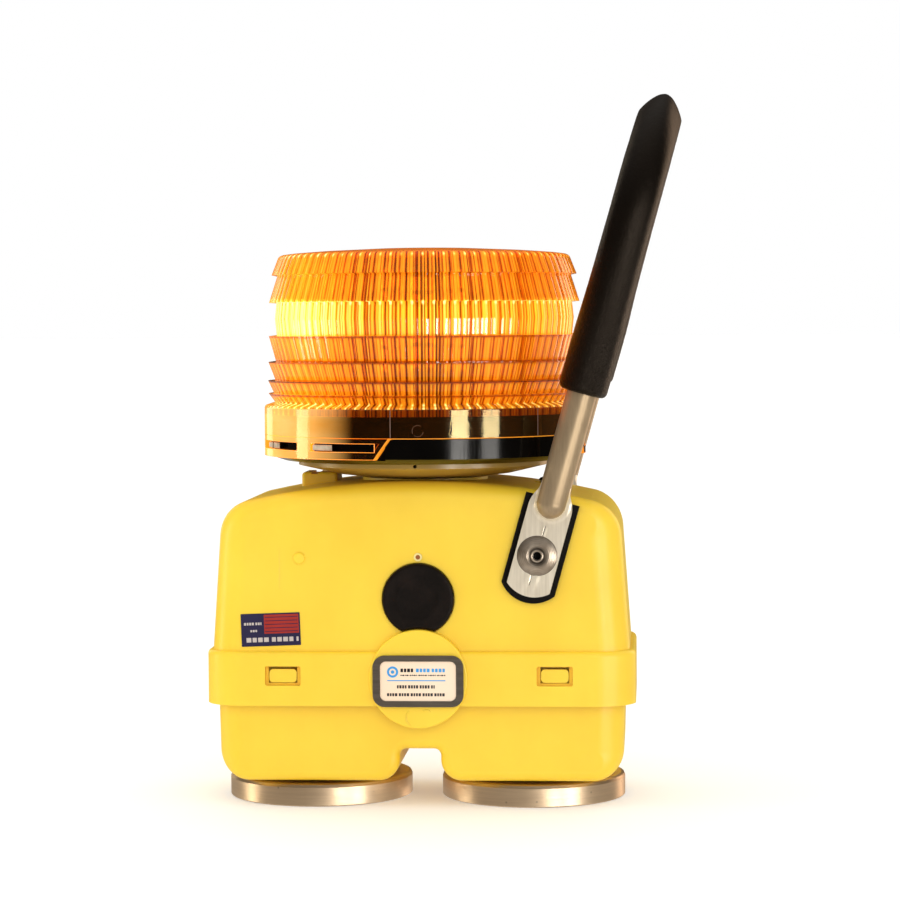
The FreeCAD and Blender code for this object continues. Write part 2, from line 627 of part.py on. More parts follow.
def lens():
    outer = [
        (SKIRT_R, SKIRT_EDGE), (SKIRT_R, 168.0), (68.6, 168.9), (64.7, 170.2), (67.4, 173.9), (65.2, 174.2),
        (67.6, 179.4), (64.5, 179.7), (67.4, 187.3), (64.2, 187.8), (67.1, 198.4), (63.7, 198.9),
        (64.4, 205.8), (63.7, 212.4), (66.9, 212.7), (63.3, 224.0), (65.7, 224.5), (62.8, 231.9),
        (61.0, 233.0), (45.0, 234.4), (22.0, 235.5), (0, 235.9),
    ]
    inner = [
        (0, 233.3), (22.0, 232.9), (45.0, 231.8), (59.0, 230.6), (LENS_INNER_R, 228.0),
        (LENS_INNER_R, 165.2), (SKIRT_INNER_R, 165.2), (SKIRT_INNER_R, SKIRT_EDGE),
    ]
    drum = turned(outer + inner)
    for low, high in apron_ranges():
        corner = 2.7
        drum = drum.fuse(ring_sector((SKIRT_INNER_R, SKIRT_R), (SKIRT_LOW_EDGE, SKIRT_EDGE + 0.5),
                                     (low + corner, high - corner)))
        for near, far in SLOT_OFFSETS:
            drum = drum.cut(ring_sector((SKIRT_INNER_R - 1, SKIRT_R + 1), SLOT_Z, (high - far, high - near)))
    save("lens", drum)


def wiring():
    for name, sign in (("wire_red", 1.0), ("wire_black", -1.0)):
        points = [Vector(sign * 9.5, 0, CONTACT_Z - 1.0), Vector(sign * 3.0, 0, 118.5),
                  Vector(sign * 3.0, 0, 153.0)]
        save(name, wire_run(points, 4.0, 1.0))
    switch_wires = []
    for x in (-3.0, 3.0):
        points = [Vector(x, -20.0, BUTTON_Z), Vector(x, -9.5, BUTTON_Z), Vector(x, -9.5, BOARD_Z)]
        switch_wires.append(wire_run(points, 4.0, 0.9))
    save("switch_wires", *switch_wires)
    points = [Vector(0, -36.0, PHOTOCELL_Z), Vector(0, -20.0, PHOTOCELL_Z), Vector(0, -20.0, BOARD_Z)]
    save("photocell_wire", wire_run(points, 5.0, 0.9))


# ---- handle -------------------------------------------------------------------------------------------
def place_handle(shape):
    """Stand a piece that is drawn straight up from the pivot at the handle's rest tilt."""
    shape.rotate(Vector(0, 0, 0), Vector(0, 1, 0), HANDLE_TILT)
    shape.translate(Vector(PIVOT_X, 0, PIVOT_Z))
    return shape


def flattened_end():
    """Front leg's foot: a flat plate that swells into the round tube."""
    half = PLATE_THICK / 2.0
    wide = PLATE_WIDTH / 2.0
    flat_top = 14.0
    round_at = TUBE_START + 0.5
    plate = tongue_y(wide, PLATE_BOTTOM, flat_top, PLATE_END_R, -PLATE_Y - half, -PLATE_Y + half)
    sections = []
    for along, half_width, half_thick, y in (
            (flat_top, wide, half, PLATE_Y), (18.0, 9.15, 2.0, 47.85), (22.0, 8.7, 3.6, 49.5),
            (26.0, 7.7, 5.2, 51.0), (round_at, TUBE_R + 0.2, TUBE_R + 0.2, LEG_Y)):
        points = []
        squareness = 2.0 + 4.0 * (1.0 - (along - flat_top) / (round_at - flat_top)) ** 2
        count = 32
        for i in range(count):
            a = radians(360.0 * i / count)
            grow = (abs(cos(a)) ** squareness + abs(sin(a)) ** squareness) ** (-1.0 / squareness)
            points.append(Vector(half_width * grow * cos(a), -y + half_thick * grow * sin(a), along))
        curve = Part.BSplineCurve()
        curve.interpolate(points, PeriodicFlag=True)
        sections.append(Part.Wire([curve.toShape()]))
    swell = Part.makeLoft(sections, True, False)
    if swell.Volume < 0:
        swell.reverse()
    foot = plate.fuse(swell)
    return foot.cut(rod_y(0, 0, RIVET_R + 0.06, -60.0, -40.0))


def bail_sleeve(r, r_bend, start, inner_r):
    """Sleeve from a distance above the pivot: two tapered legs and a half-round bend."""
    bend_z = HANDLE_TIP - GRIP_TOP_R - LEG_Y
    rise = bend_z - start
    front = Part.makeCone(r, r_bend, rise, Vector(0, -LEG_Y, start))
    rear = Part.makeCone(r, r_bend, rise, Vector(0, LEG_Y, start))
    circle = Part.Face(Part.Wire([Part.makeCircle(r_bend, Vector(0, -LEG_Y, bend_z), Vector(0, 0, 1))]))
    bend = circle.revolve(Vector(0, 0, bend_z), Vector(1, 0, 0), -180.0)
    solid = front.fuse(bend).fuse(rear)
    hollow = [rod_z(0, y, inner_r, start - 1.0, bend_z) for y in (-LEG_Y, LEG_Y)]
    hole = Part.Face(Part.Wire([Part.makeCircle(inner_r, Vector(0, -LEG_Y, bend_z), Vector(0, 0, 1))]))
    core = hole.revolve(Vector(0, 0, bend_z), Vector(1, 0, 0), -180.0)
    for piece in hollow + [core]:
        solid = solid.cut(piece)
    return solid


def bail_tube():
    bend_z = HANDLE_TIP - GRIP_TOP_R - LEG_Y
    inner_r = TUBE_R - TUBE_WALL
    pieces = []
    for y in (-LEG_Y, LEG_Y):
        leg = rod_z(0, y, TUBE_R, TUBE_START, bend_z)
        pieces.append(leg.cut(rod_z(0, y, inner_r, TUBE_START + 2.0, bend_z + 1)))
    circle = Part.Wire([Part.makeCircle(TUBE_R, Vector(0, -LEG_Y, bend_z), Vector(0, 0, 1))])
    hole = Part.Wire([Part.makeCircle(inner_r, Vector(0, -LEG_Y, bend_z), Vector(0, 0, 1))])
    annulus = Part.Face(circle).cut(Part.Face(hole)).Faces[0]
    bend = annulus.revolve(Vector(0, 0, bend_z), Vector(1, 0, 0), -180.0)
    return pieces[0].fuse(bend).fuse(pieces[1])


def handle():
    foot = flattened_end()
    legs = bail_tube()
    tube = legs.fuse(foot).fuse(foot.mirror(Vector(0, 0, 0), Vector(0, 1, 0)))
    save("handle_tube", place_handle(tube))
    save("handle_grip", place_handle(bail_sleeve(GRIP_FOOT_R, GRIP_TOP_R, GRIP_START, TUBE_R + 0.05)))
    pad = tongue_y(PAD_WIDTH / 2, PAD_BOTTOM, PAD_TOP, PAD_END_R,
                   -PLATE_Y + PLATE_THICK / 2, -HOOD_HALF_DEPTH - 0.3)
    pad = pad.cut(rod_y(0, 0, RIVET_R + 0.06, -60.0, -40.0))
    save("handle_pad_front", place_handle(pad.copy()))
    save("handle_pad_rear", place_handle(pad.mirror(Vector(0, 0, 0), Vector(0, 1, 0))))


def handle_rivets():
    """Blind rivets drawn along +Z from the plate's outer face, then laid over to each side."""
    rivets = []
    washers = []
    face = PLATE_Y + PLATE_THICK / 2 + 0.1
    inside = HOOD_HALF_DEPTH - WALL
    outline = [
        (1.2, face + 1.8), (2.45, face + 1.8), (2.7, face + 0.9), (5.5, face + 1.1), (7.6, face + 1.3),
        (RIVET_HEAD_R, face + 0.8), (RIVET_HEAD_R, face), (RIVET_R, face), (RIVET_R, inside - 1.2),
        (4.2, inside - 1.4), (4.2, inside - 3.0), (3.0, inside - 4.2), (1.2, inside - 4.2),
    ]
    washer = [(RIVET_R + 0.1, inside - 1.2), (7.0, inside - 1.2), (7.0, inside), (RIVET_R + 0.1, inside)]
    for angle in (90.0, -90.0):
        for points, group in ((outline, rivets), (washer, washers)):
            solid = turned(points)
            solid.rotate(Vector(0, 0, 0), Vector(1, 0, 0), angle)
            solid.translate(Vector(PIVOT_X, 0, PIVOT_Z))
            group.append(solid)
    save("handle_rivets", *rivets)
    save("rivet_washers", *washers)


os.makedirs("parts", exist_ok=True)
lower_case()
latches()
case_gasket()
magnets()
batteries()
upper_case()
hood_trim()
button_and_switch()
contact_board()
beacon_adapter()
beacon_base()
beacon_electronics()
lens()
wiring()
handle()
handle_rivets()
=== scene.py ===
import json
from math import asin, cos, degrees, exp, hypot, pi, radians, sin, sqrt, tau

import bpy
from mathutils import Euler, Matrix, Vector, noise


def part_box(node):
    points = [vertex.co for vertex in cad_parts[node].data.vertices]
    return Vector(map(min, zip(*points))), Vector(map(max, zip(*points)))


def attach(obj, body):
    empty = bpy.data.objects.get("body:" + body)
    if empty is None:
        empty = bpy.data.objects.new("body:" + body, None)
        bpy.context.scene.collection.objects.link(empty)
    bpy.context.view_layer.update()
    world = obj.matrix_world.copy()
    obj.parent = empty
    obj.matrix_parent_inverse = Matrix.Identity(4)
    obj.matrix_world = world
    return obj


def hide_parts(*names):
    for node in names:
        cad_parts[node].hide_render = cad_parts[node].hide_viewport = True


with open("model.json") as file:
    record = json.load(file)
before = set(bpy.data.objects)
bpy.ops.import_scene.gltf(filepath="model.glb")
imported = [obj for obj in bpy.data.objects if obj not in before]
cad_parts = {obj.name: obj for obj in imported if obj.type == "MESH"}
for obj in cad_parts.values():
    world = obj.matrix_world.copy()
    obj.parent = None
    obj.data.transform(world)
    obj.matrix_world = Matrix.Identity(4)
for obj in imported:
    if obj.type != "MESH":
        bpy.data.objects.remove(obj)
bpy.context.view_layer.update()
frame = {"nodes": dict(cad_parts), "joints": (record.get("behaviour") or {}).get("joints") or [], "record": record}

# Looks of the magnet-mount barricade warning light. Lengths below are millimetres in the part's
# own frame (+Z up, front towards -Y) and become metres when a mesh is made.
MM = 0.001
PIVOT = Vector(next(j["pos_m"] for j in frame["joints"] if j["name"] == "handle_swing")) / MM

# Lens: outer profile as (radius, height), the reeds run from the skirt's shoulder to the crown
REEDS = 90
REED_STEPS = 6
REED_DEPTH = 0.25
SKIRT_R = 69.2
SKIRT_INNER_R = 66.9
SKIRT_EDGE = 156.2
SKIRT_LOW_EDGE = 147.5
SKIRT_TOP = 168.0
LENS_INNER_R = 61.0
RIDGES = [
    (68.6, 168.9), (64.7, 170.2), (67.4, 173.9), (65.2, 174.2), (67.6, 179.4), (64.5, 179.7),
    (67.4, 187.3), (64.2, 187.8), (67.1, 198.4), (63.7, 198.9), (64.4, 205.8), (63.7, 212.4),
    (66.9, 212.7), (63.3, 224.0), (65.7, 224.5), (62.8, 231.9),
]
CROWN = [(57.0, 233.5), (45.0, 234.4), (22.0, 235.5), (0.5, 235.9)]
LIT_BAND = (198.4, 212.6)
APRON = (-100.0, -10.0)
APRON_SLOTS = [(-39.0, -13.0), (-77.0, -46.0), (-95.0, -82.0)]
SLOT_Z = (150.7, 154.3)
LUG_Z = (151.2, 153.6)
LUG_AZIMUTHS = [(-38.2, -29.6), (-70.8, -65.6), (-64.6, -59.0)]
SEAM_AZIMUTHS = (-7.4, 47.0, 172.6, 227.0)
SKIRT_MARK = (2.0, 159.6, 2.3)

# Handle sleeve, measured along the bail from the pivot
HANDLE_TILT = 15.7
HANDLE_TIP = 201.2
LEG_Y = 50.5
TUBE_R = 6.35
GRIP_START = 70.0
REAR_FOOT_RISE = 4.3
GRIP_FOOT_R = 10.1
GRIP_TOP_R = 9.3
END_ROUND = 2.6
BEND_Z = HANDLE_TIP - GRIP_TOP_R - LEG_Y
PLATE_Y = 47.0
PLATE_HALF_THICK = 1.3
PLATE_HALF_WIDTH = 9.25
PLATE_BOTTOM = -17.5
PLATE_END_R = 13.9
DOME_START = 22.35
WING_FROM = 20.0
BLEND_FROM = 24.3
ROUND_FROM = 31.0
FLANK = 78.0

# Front of the hood
BOSS_Z = 55.0
BOSS_R = 20.7
BUTTON_Z = 88.3
BUTTON_R = 15.0
LATCH_X = 57.0
FORWARD = (0.0, -1.0, 0.0)

# Camera
CAMERA_AT = (0.0971456, -1.214273, 0.2036388)
CAMERA_TURN = (-0.0711, -0.0451, -0.0069)
CAMERA_LENS = 112.774


# ---- meshes ----
def new_object(name, data):
    thing = bpy.data.objects.new(name, data)
    bpy.context.scene.collection.objects.link(thing)
    return thing


def add_piece(name, body, shape, materials, replaced=(), sharp=35.0):
    """A smooth-shaded piece parented to an empty named after a CAD body; shape is its points, faces and material
    indices.
    """
    verts, faces, *indices = shape
    mesh = bpy.data.meshes.new(name)
    mesh.from_pydata([(x * MM, y * MM, z * MM) for x, y, z in verts], [], faces)
    mesh.validate()
    for material in materials:
        mesh.materials.append(material)
    if indices:
        mesh.polygons.foreach_set("material_index", indices[0])
    mesh.polygons.foreach_set("use_smooth", [True] * len(mesh.polygons))
    mesh.set_sharp_from_angle(angle=radians(sharp))
    mesh.update()
    piece = new_object(name, mesh)
    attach(piece, body)
    if replaced:
        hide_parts(*replaced)


def grid_faces(rows, columns, closed_rows=False, first=0):
    """Quads between rings of points that are stored ring by ring."""
    faces = []
    for i in range(rows if closed_rows else rows - 1):
        a = first + i * columns
        b = first + ((i + 1) % rows) * columns
        for j in range(columns):
            k = (j + 1) % columns
            faces.append((a + j, a + k, b + k, b + j))
    return faces


def rod_faces(rows, columns, first=0):
    """Quads between rings of points, and a cap at each end."""
    last = first + (rows - 1) * columns
    caps = [[first + j for j in range(columns)], [last + j for j in reversed(range(columns))]]
    return grid_faces(rows, columns, first=first) + caps


def lathed(outline, columns, place):
    """A ring of points for each (radius, height) of an outline; place turns x, y, height into a point."""
    angles = [tau * j / columns for j in range(columns)]
    return [place(r * cos(a), r * sin(a), height) for r, height in outline for a in angles]


def in_mm(box):
    """Lowest corner, highest corner and centre of a box, in millimetres."""
    low, high = (v / MM for v in box)
    return low, high, [(a + b) / 2.0 for a, b in zip(low, high)]


def polar(r, azimuth, z):
    """Point at an azimuth in degrees, 0 at the front and positive to the right."""
    return (r * sin(radians(azimuth)), -r * cos(radians(azimuth)), z)


def refine(points, step):
    """Points along a polyline, no further apart than step."""
    fine = [points[0]]
    for a, b in zip(points, points[1:]):
        count = max(1, int(hypot(b[0] - a[0], b[1] - a[1]) / step + 0.99))
        fine += [(a[0] + (b[0] - a[0]) * i / count, a[1] + (b[1] - a[1]) * i / count)
                 for i in range(1, count + 1)]
    return fine


# ---- materials ----
class Nodes:
    """A node tree built in a few calls."""

    def __init__(self, tree, coordinates="Object"):
        self.tree = tree
        self.coords = self.add("ShaderNodeTexCoord").outputs[coordinates]

    def add(self, kind, inputs=None, **attributes):
        node = self.tree.nodes.new(kind)
        for key, value in attributes.items():
            setattr(node, key, value)
        for key, value in (inputs or {}).items():
            if isinstance(value, bpy.types.NodeSocket):
                self.tree.links.new(value, node.inputs[key])
            else:
                node.inputs[key].default_value = value
        return node

    def noise(self, scale, detail=3.0, stretch=None, roughness=0.55):
        vector = self.coords
        if stretch:
            vector = self.add("ShaderNodeMapping", {"Vector": vector, "Scale": stretch}).outputs["Vector"]
        inputs = {"Vector": vector, "Scale": scale, "Detail": detail, "Roughness": roughness}
        return self.add("ShaderNodeTexNoise", inputs).outputs["Fac"]

    def cells(self, scale):
        return self.add("ShaderNodeTexVoronoi", {"Vector": self.coords, "Scale": scale}).outputs["Distance"]

    def ramp(self, value, *stops):
        node = self.add("ShaderNodeValToRGB", {"Fac": value})
        elements = node.color_ramp.elements
        while len(elements) < len(stops):
            elements.new(0.5)
        for element, (position, colour) in zip(elements, stops):
            element.position = position
            grey = isinstance(colour, (int, float))
            element.color = (colour, colour, colour, 1.0) if grey else (*colour, 1.0)
        return node.outputs["Color"]

    def math(self, operation, a, b=0.0, c=0.0):
        return self.add("ShaderNodeMath", {0: a, 1: b, 2: c}, operation=operation).outputs[0]

    def linear(self, value, slope, offset):
        return self.math("MULTIPLY_ADD", value, slope, offset)

    def times(self, a, b):
        return self.math("MULTIPLY", a, b)

    def mix(self, factor, a, b, blend="MIX"):
        a, b = ((*c, 1.0) if isinstance(c, (list, tuple)) else c for c in (a, b))
        node = self.add("ShaderNodeMix", {0: factor, 6: a, 7: b}, data_type="RGBA", blend_type=blend)
        return node.outputs[2]

    def bump(self, height, strength, distance, below=None):
        inputs = {"Height": height, "Strength": strength, "Distance": distance}
        if below is not None:
            inputs["Normal"] = below
        return self.add("ShaderNodeBump", inputs).outputs["Normal"]

    def axis(self, name):
        return self.add("ShaderNodeSeparateXYZ", {"Vector": self.coords}).outputs[name]

    def azimuth(self):
        """Angle round the upright axis in radians, 0 at the front and positive to the right."""
        return self.math("ARCTAN2", self.axis("X"), self.times(self.axis("Y"), -1.0))


class Shader(Nodes):
    """A material; its settings are values of the Principled BSDF's own sockets."""

    def __init__(self, name, **settings):
        self.material = bpy.data.materials.new(name)
        self.material.use_nodes = True
        super().__init__(self.material.node_tree)
        self.bsdf = self.tree.nodes["Principled BSDF"]
        for socket, value in settings.items():
            self.bsdf.inputs[socket.replace("_", " ")].default_value = value

    def link(self, source, socket):
        self.tree.links.new(source, self.bsdf.inputs[socket])


def rgb(colour):
    return (*colour, 1.0)


def moulded(name, light, dark, roughness, grain=0.05, coat=0.0, mottle=26.0, shine=0.5, depth=0.0):
    """Injection-moulded plastic: slow colour drift, faint flow lines, fine grain and hairline scuffs."""
    s = Shader(name, Specular_IOR_Level=shine, Coat_Weight=coat, Coat_Roughness=0.12,
               Subsurface_Weight=depth, Subsurface_Scale=0.004, Subsurface_Radius=(1.0, 0.75, 0.25))
    drift = s.noise(mottle, 4.0)
    flow = s.noise(60.0, 3.0, stretch=(1.0, 1.0, 0.25))
    blend = s.linear(flow, 0.35, s.times(drift, 0.65))
    s.link(s.mix(s.ramp(blend, (0.36, 0.0), (0.66, 1.0)), dark, light), "Base Color")
    scratch = s.noise(900.0, 2.0, stretch=(1.0, 1.0, 0.04))
    marks = s.ramp(scratch, (0.60, 0.0), (0.72, 0.35))
    smear = s.noise(40.0, 4.0)
    rough = s.linear(smear, 0.16, roughness - 0.08)
    s.link(s.linear(marks, 0.18, rough), "Roughness")
    fine = s.bump(s.noise(1500.0, 2.0), grain, 0.0002)
    s.link(s.bump(scratch, grain * 0.7, 0.0003, fine), "Normal")
    return s.material


def brushed(name, light, dark, roughness, along, scale=700.0, strength=0.12, spots=0.0, metallic=1.0):
    """Metal drawn or brushed along an axis, with fine streaks and slight tarnish."""
    s = Shader(name, Metallic=metallic)
    streaks = s.noise(scale, 4.0, stretch=along, roughness=0.7)
    patches = s.noise(30.0, 4.0)
    tone = s.linear(patches, 0.5, s.times(streaks, 0.5))
    colour = s.mix(s.ramp(tone, (0.36, 0.0), (0.64, 1.0)), dark, light)
    if spots:
        dots = s.ramp(s.cells(140.0), (0.0, 1.0), (0.09, 0.0))
        colour = s.mix(s.times(dots, spots), colour, [c * 0.35 for c in dark])
    s.link(colour, "Base Color")
    s.link(s.linear(streaks, 0.22, roughness - 0.1), "Roughness")
    s.link(s.bump(streaks, strength, 0.0002), "Normal")
    return s.material


def rubber(name, light, dark, roughness, scuff, grain_scale=700.0, grain=0.35):
    """Moulded rubber with a dusty bloom, worn paler where it is touched."""
    s = Shader(name, Specular_IOR_Level=0.18)
    bloom = s.noise(90.0, 6.0, roughness=0.65)
    colour = s.mix(s.ramp(bloom, (0.42, 0.0), (0.72, 1.0)), dark, light)
    rubs = s.ramp(s.noise(260.0, 3.0, stretch=(1.0, 1.0, 0.3)), (0.60, 0.0), (0.74, scuff))
    s.link(s.mix(rubs, colour, [min(1.0, c * 3.0) for c in light]), "Base Color")
    s.link(s.linear(bloom, 0.3, roughness - 0.15), "Roughness")
    s.link(s.bump(s.noise(grain_scale, 3.0), grain, 0.0003), "Normal")
    return s.material


def pebbled(name):
    """Black foam-vinyl sleeve: fine pebble grain on its lower half, rubbed smooth further up."""
    s = Shader(name, Specular_IOR_Level=0.24, Specular_Tint=rgb((1.0, 0.82, 0.66)))
    wear = s.noise(35.0, 5.0)
    s.link(s.mix(s.ramp(wear, (0.35, 0.0), (0.75, 1.0)), (0.0012, 0.0008, 0.0006),
                 (0.0030, 0.0018, 0.0012)), "Base Color")
    matt = s.ramp(s.math("DIVIDE", s.axis("Z"), 0.3), (0.50, 0.22), (1.0, 0.42))
    s.link(s.linear(wear, 0.06, matt), "Roughness")
    rubbed = s.ramp(s.math("DIVIDE", s.axis("Z"), 0.3), (0.50, 1.0), (1.0, 0.12))
    s.link(s.bump(s.noise(1150.0, 3.0, roughness=0.7), rubbed, 0.0007), "Normal")
    return s.material


def lamp_side(s, dim):
    """Share of the lamp's glow round the lens: strongest at the diode that is lit, dim elsewhere."""
    share = s.linear(s.azimuth(), 1.0 / tau, 0.5)
    return s.ramp(share, (0.0, dim), (0.22, dim), (0.335, 1.0), (0.37, 1.0), (0.46, dim), (1.0, dim))


def band(s, value, low, high, soft):
    """1 between two heights in millimetres, falling to 0 over the soft distance."""
    unit = 0.3
    a, b, d = low * MM / unit, high * MM / unit, soft * MM / unit
    return s.ramp(value, (a - d, 0.0), (a, 1.0), (b, 1.0), (b + d, 0.0))


def bands(s, value, *spans):
    """1 within any of several bands."""
    total = band(s, value, *spans[0])
    for span in spans[1:]:
        total = s.math("MAXIMUM", total, band(s, value, *span))
    return total


def amber_reeds(name):
    """Clear amber acrylic of the lit lens: painted dark lines where the reeds bend the view of its dark inside,
    painted shade under the ridge tips and painted glints along the bead rows; the rest of the emission is the
    lamp's glow.
    """
    s = Shader(name, Transmission_Weight=0.55, IOR=1.49, Specular_IOR_Level=0.35)
    turn = s.azimuth()
    phase = s.times(turn, REEDS)
    crest = s.linear(s.math("COSINE", phase), 0.5, 0.5)
    each = s.math("FLOOR", s.times(turn, 3.0 * REEDS / tau))
    dice = s.add("ShaderNodeTexWhiteNoise", {"W": each}, noise_dimensions="1D").outputs["Value"]
    # Painted shade: dark lines in each reed valley, finer dark lines and random hairlines between them, weakest on
    # the left.
    triple = s.linear(s.math("COSINE", s.times(phase, 3.0)), -0.5, 0.5)
    valley = s.math("POWER", s.math("SUBTRACT", 1.0, crest), 5.0)
    lines = s.times(s.math("POWER", triple, 4.0), s.linear(dice, 0.9, 0.25))
    lines = s.math("MAXIMUM", lines, s.times(s.math("POWER", valley, 1.6), 0.9))
    each = s.math("FLOOR", s.times(turn, 7.0 * REEDS / tau))
    hair = s.add("ShaderNodeTexWhiteNoise", {"W": each}, noise_dimensions="1D").outputs["Value"]
    lines = s.math("MAXIMUM", lines, s.ramp(hair, (0.55, 0.0), (0.95, 0.75)))
    around = s.linear(turn, 1.0 / tau, 0.5)
    lines = s.times(lines, s.ramp(around, (0.0, 0.7), (0.25, 0.45), (0.389, 0.5), (0.45, 0.95),
                                             (0.52, 1.0), (0.58, 0.8), (0.72, 0.75), (1.0, 0.7)))
    height = s.math("DIVIDE", s.axis("Z"), 0.3)
    # Painted shade: a dark line under each ridge tip.
    rims = bands(s, height, *[(z - 0.4, z + 0.2, 0.3) for z in (173.9, 179.4, 187.4, 198.5)])
    lit = band(s, height, LIT_BAND[0] + 1.0, LIT_BAND[1] - 0.8, 1.6)
    side = lamp_side(s, 0.45)
    fleck = s.noise(420.0, 2.0, stretch=(1.0, 1.0, 0.25))
    dark = s.math("MAXIMUM", s.times(rims, 0.95), lines)
    tone = s.math("SUBTRACT", s.linear(fleck, 0.35, 0.62), dark)
    s.link(s.ramp(tone, (0.0, (0.13, 0.016, 0.001)), (0.25, (0.62, 0.11, 0.003)),
                  (0.55, (1.0, 0.36, 0.012)), (0.95, (1.0, 0.55, 0.04))), "Base Color")
    clear = s.linear(dark, -0.95, 1.0)
    glow = s.times(lit, s.linear(side, 0.58, 0.12))
    # Painted glints: bright dots on the reed crests along the bead rows, added to the emission.
    painted_glints = s.math("POWER", crest, 5.0)
    rows = bands(s, height, (168.4, 168.8, 0.2), (169.6, 170.3, 0.25), (231.6, 232.5, 0.25),
                 (212.1, 212.7, 0.25))
    painted_glints = s.times(painted_glints, s.times(rows, s.linear(dice, 0.6, 0.4)))
    base_glow = s.times(s.linear(side, 0.74, 0.12), s.linear(crest, 0.40, 0.24))
    inner = s.times(s.math("ADD", s.times(glow, 1.15), base_glow), clear)
    strength = s.math("ADD", inner, s.times(painted_glints, 1.1))
    s.link(s.ramp(strength, (0.0, (1.0, 0.24, 0.003)), (0.30, (1.0, 0.42, 0.010)),
                  (0.60, (1.0, 0.60, 0.05)), (1.0, (1.0, 0.84, 0.34))), "Emission Color")
    s.link(strength, "Emission Strength")
    s.link(s.linear(s.noise(220.0, 3.0), 0.05, 0.015), "Roughness")
    s.link(s.bump(hair, 0.35, 0.0002), "Normal")
    return s.material


def amber_crown(name):
    """Top of the lens: seen through its whole thickness, so a deep red-orange, with a faint painted glow."""
    s = Shader(name, Transmission_Weight=0.35, IOR=1.49, Coat_Weight=0.3, Coat_Roughness=0.14,
               Emission_Color=rgb((1.0, 0.30, 0.006)))
    drift = s.noise(60.0, 4.0)
    s.link(s.mix(drift, (0.74, 0.15, 0.006), (0.92, 0.24, 0.006)), "Base Color")
    # Painted light: a faint glow over the whole crown, so it does not go dark where it reflects the dim room.
    s.link(s.linear(drift, 0.20, 0.26), "Emission Strength")
    s.link(s.linear(s.noise(260.0, 3.0), 0.14, 0.12), "Roughness")
    s.link(s.bump(s.noise(500.0, 3.0), 0.10, 0.0002), "Normal")
    return s.material


def amber_skirt(name):
    """The lens's plain skirt: the same acrylic, thick enough to look dark in front of the base, with a painted
    golden glow over its front-left.
    """
    s = Shader(name, Transmission_Weight=1.0, IOR=1.49, Specular_IOR_Level=0.75,
               Specular_Tint=rgb((1.0, 0.82, 0.42)))
    drift = s.noise(45.0, 4.0)
    s.link(s.mix(drift, (0.22, 0.05, 0.002), (0.34, 0.09, 0.005)), "Base Color")
    # Painted light: a golden glow by azimuth over the skirt's front-left, fading out towards the front.
    side = s.ramp(s.linear(s.azimuth(), 1.0 / tau, 0.5), (0.0, 0.02), (0.14, 0.03), (0.23, 0.75),
                  (0.33, 1.0), (0.390, 0.84), (0.416, 0.5), (0.440, 0.0), (1.0, 0.02))
    flow = s.noise(70.0, 3.0, stretch=(0.3, 0.3, 1.5))
    s.link(s.ramp(flow, (0.3, (0.94, 0.48, 0.09)), (0.7, (0.96, 0.64, 0.22))), "Emission Color")
    s.link(s.times(side, s.linear(drift, 0.35, 0.68)), "Emission Strength")
    s.link(s.linear(s.noise(160.0, 4.0), 0.06, 0.05), "Roughness")
    s.link(s.bump(s.noise(300.0, 2.0, stretch=(1.0, 1.0, 0.2)), 0.12, 0.0003), "Normal")
    return s.material


def amber_edge(name):
    """Cut edges of the skirt, where the light that runs inside the acrylic comes out."""
    s = Shader(name, Roughness=0.25, Transmission_Weight=0.3, IOR=1.49)
    drift = s.noise(120.0, 3.0)
    s.link(s.mix(drift, (0.85, 0.22, 0.006), (1.0, 0.40, 0.03)), "Base Color")
    s.link(s.mix(drift, (0.90, 0.22, 0.004), (1.0, 0.42, 0.03)), "Emission Color")
    s.link(s.times(lamp_side(s, 0.55), 0.8), "Emission Strength")
    return s.material


def led_glow(name):
    """Yellow phosphor of a lit diode, brighter in the middle of each chip."""
    s = Shader(name, Roughness=0.25, Emission_Strength=2.5)
    cells = s.cells(900.0)
    s.link(s.ramp(cells, (0.0, (1.0, 0.86, 0.42)), (0.7, (1.0, 0.52, 0.08))), "Base Color")
    s.link(s.ramp(cells, (0.0, (1.0, 0.80, 0.36)), (0.7, (1.0, 0.48, 0.06))), "Emission Color")
    return s.material


def circuit(name):
    s = Shader(name, Roughness=0.35, Coat_Weight=0.3)
    inputs = {"Vector": s.coords, "Scale": 60.0, "Mortar Size": 0.03, "Color1": rgb((0.01, 0.10, 0.035)),
              "Color2": rgb((0.012, 0.14, 0.05)), "Mortar": rgb((0.10, 0.26, 0.08))}
    tracks = s.add("ShaderNodeTexBrick", inputs)
    s.link(s.mix(s.ramp(s.noise(500.0), (0.62, 0.0), (0.64, 0.8)), tracks.outputs["Color"],
                 (0.62, 0.60, 0.52)), "Base Color")
    return s.material


def wrapped_cell(name):
    """Lantern battery jacket: a dark sleeve with a plain coloured belt and a paler top."""
    s = Shader(name, Roughness=0.35, Coat_Weight=0.3, Coat_Roughness=0.1)
    height = s.math("DIVIDE", s.axis("Z"), 0.12)
    jacket, stripe, top = (0.02, 0.022, 0.03), (0.55, 0.10, 0.03), (0.30, 0.30, 0.31)
    belt = s.ramp(height, (0.0, jacket), (0.52, jacket), (0.53, stripe), (0.80, stripe), (0.81, top),
                  (1.0, top))
    s.link(s.mix(s.noise(120.0, 4.0), belt, (0.05, 0.05, 0.055), "SCREEN"), "Base Color")
    s.link(s.bump(s.noise(200.0, 3.0), 0.08, 0.0004), "Normal")
    return s.material


def foamed(name):
    s = Shader(name, Roughness=0.95)
    # Painted shade: the pore centres, where the bump dimples the foam, are darker.
    pores = s.cells(900.0)
    s.link(s.ramp(pores, (0.0, (0.02, 0.02, 0.022)), (0.6, (0.13, 0.13, 0.135))), "Base Color")
    s.link(s.bump(pores, 0.8, 0.0008), "Normal")
    return s.material


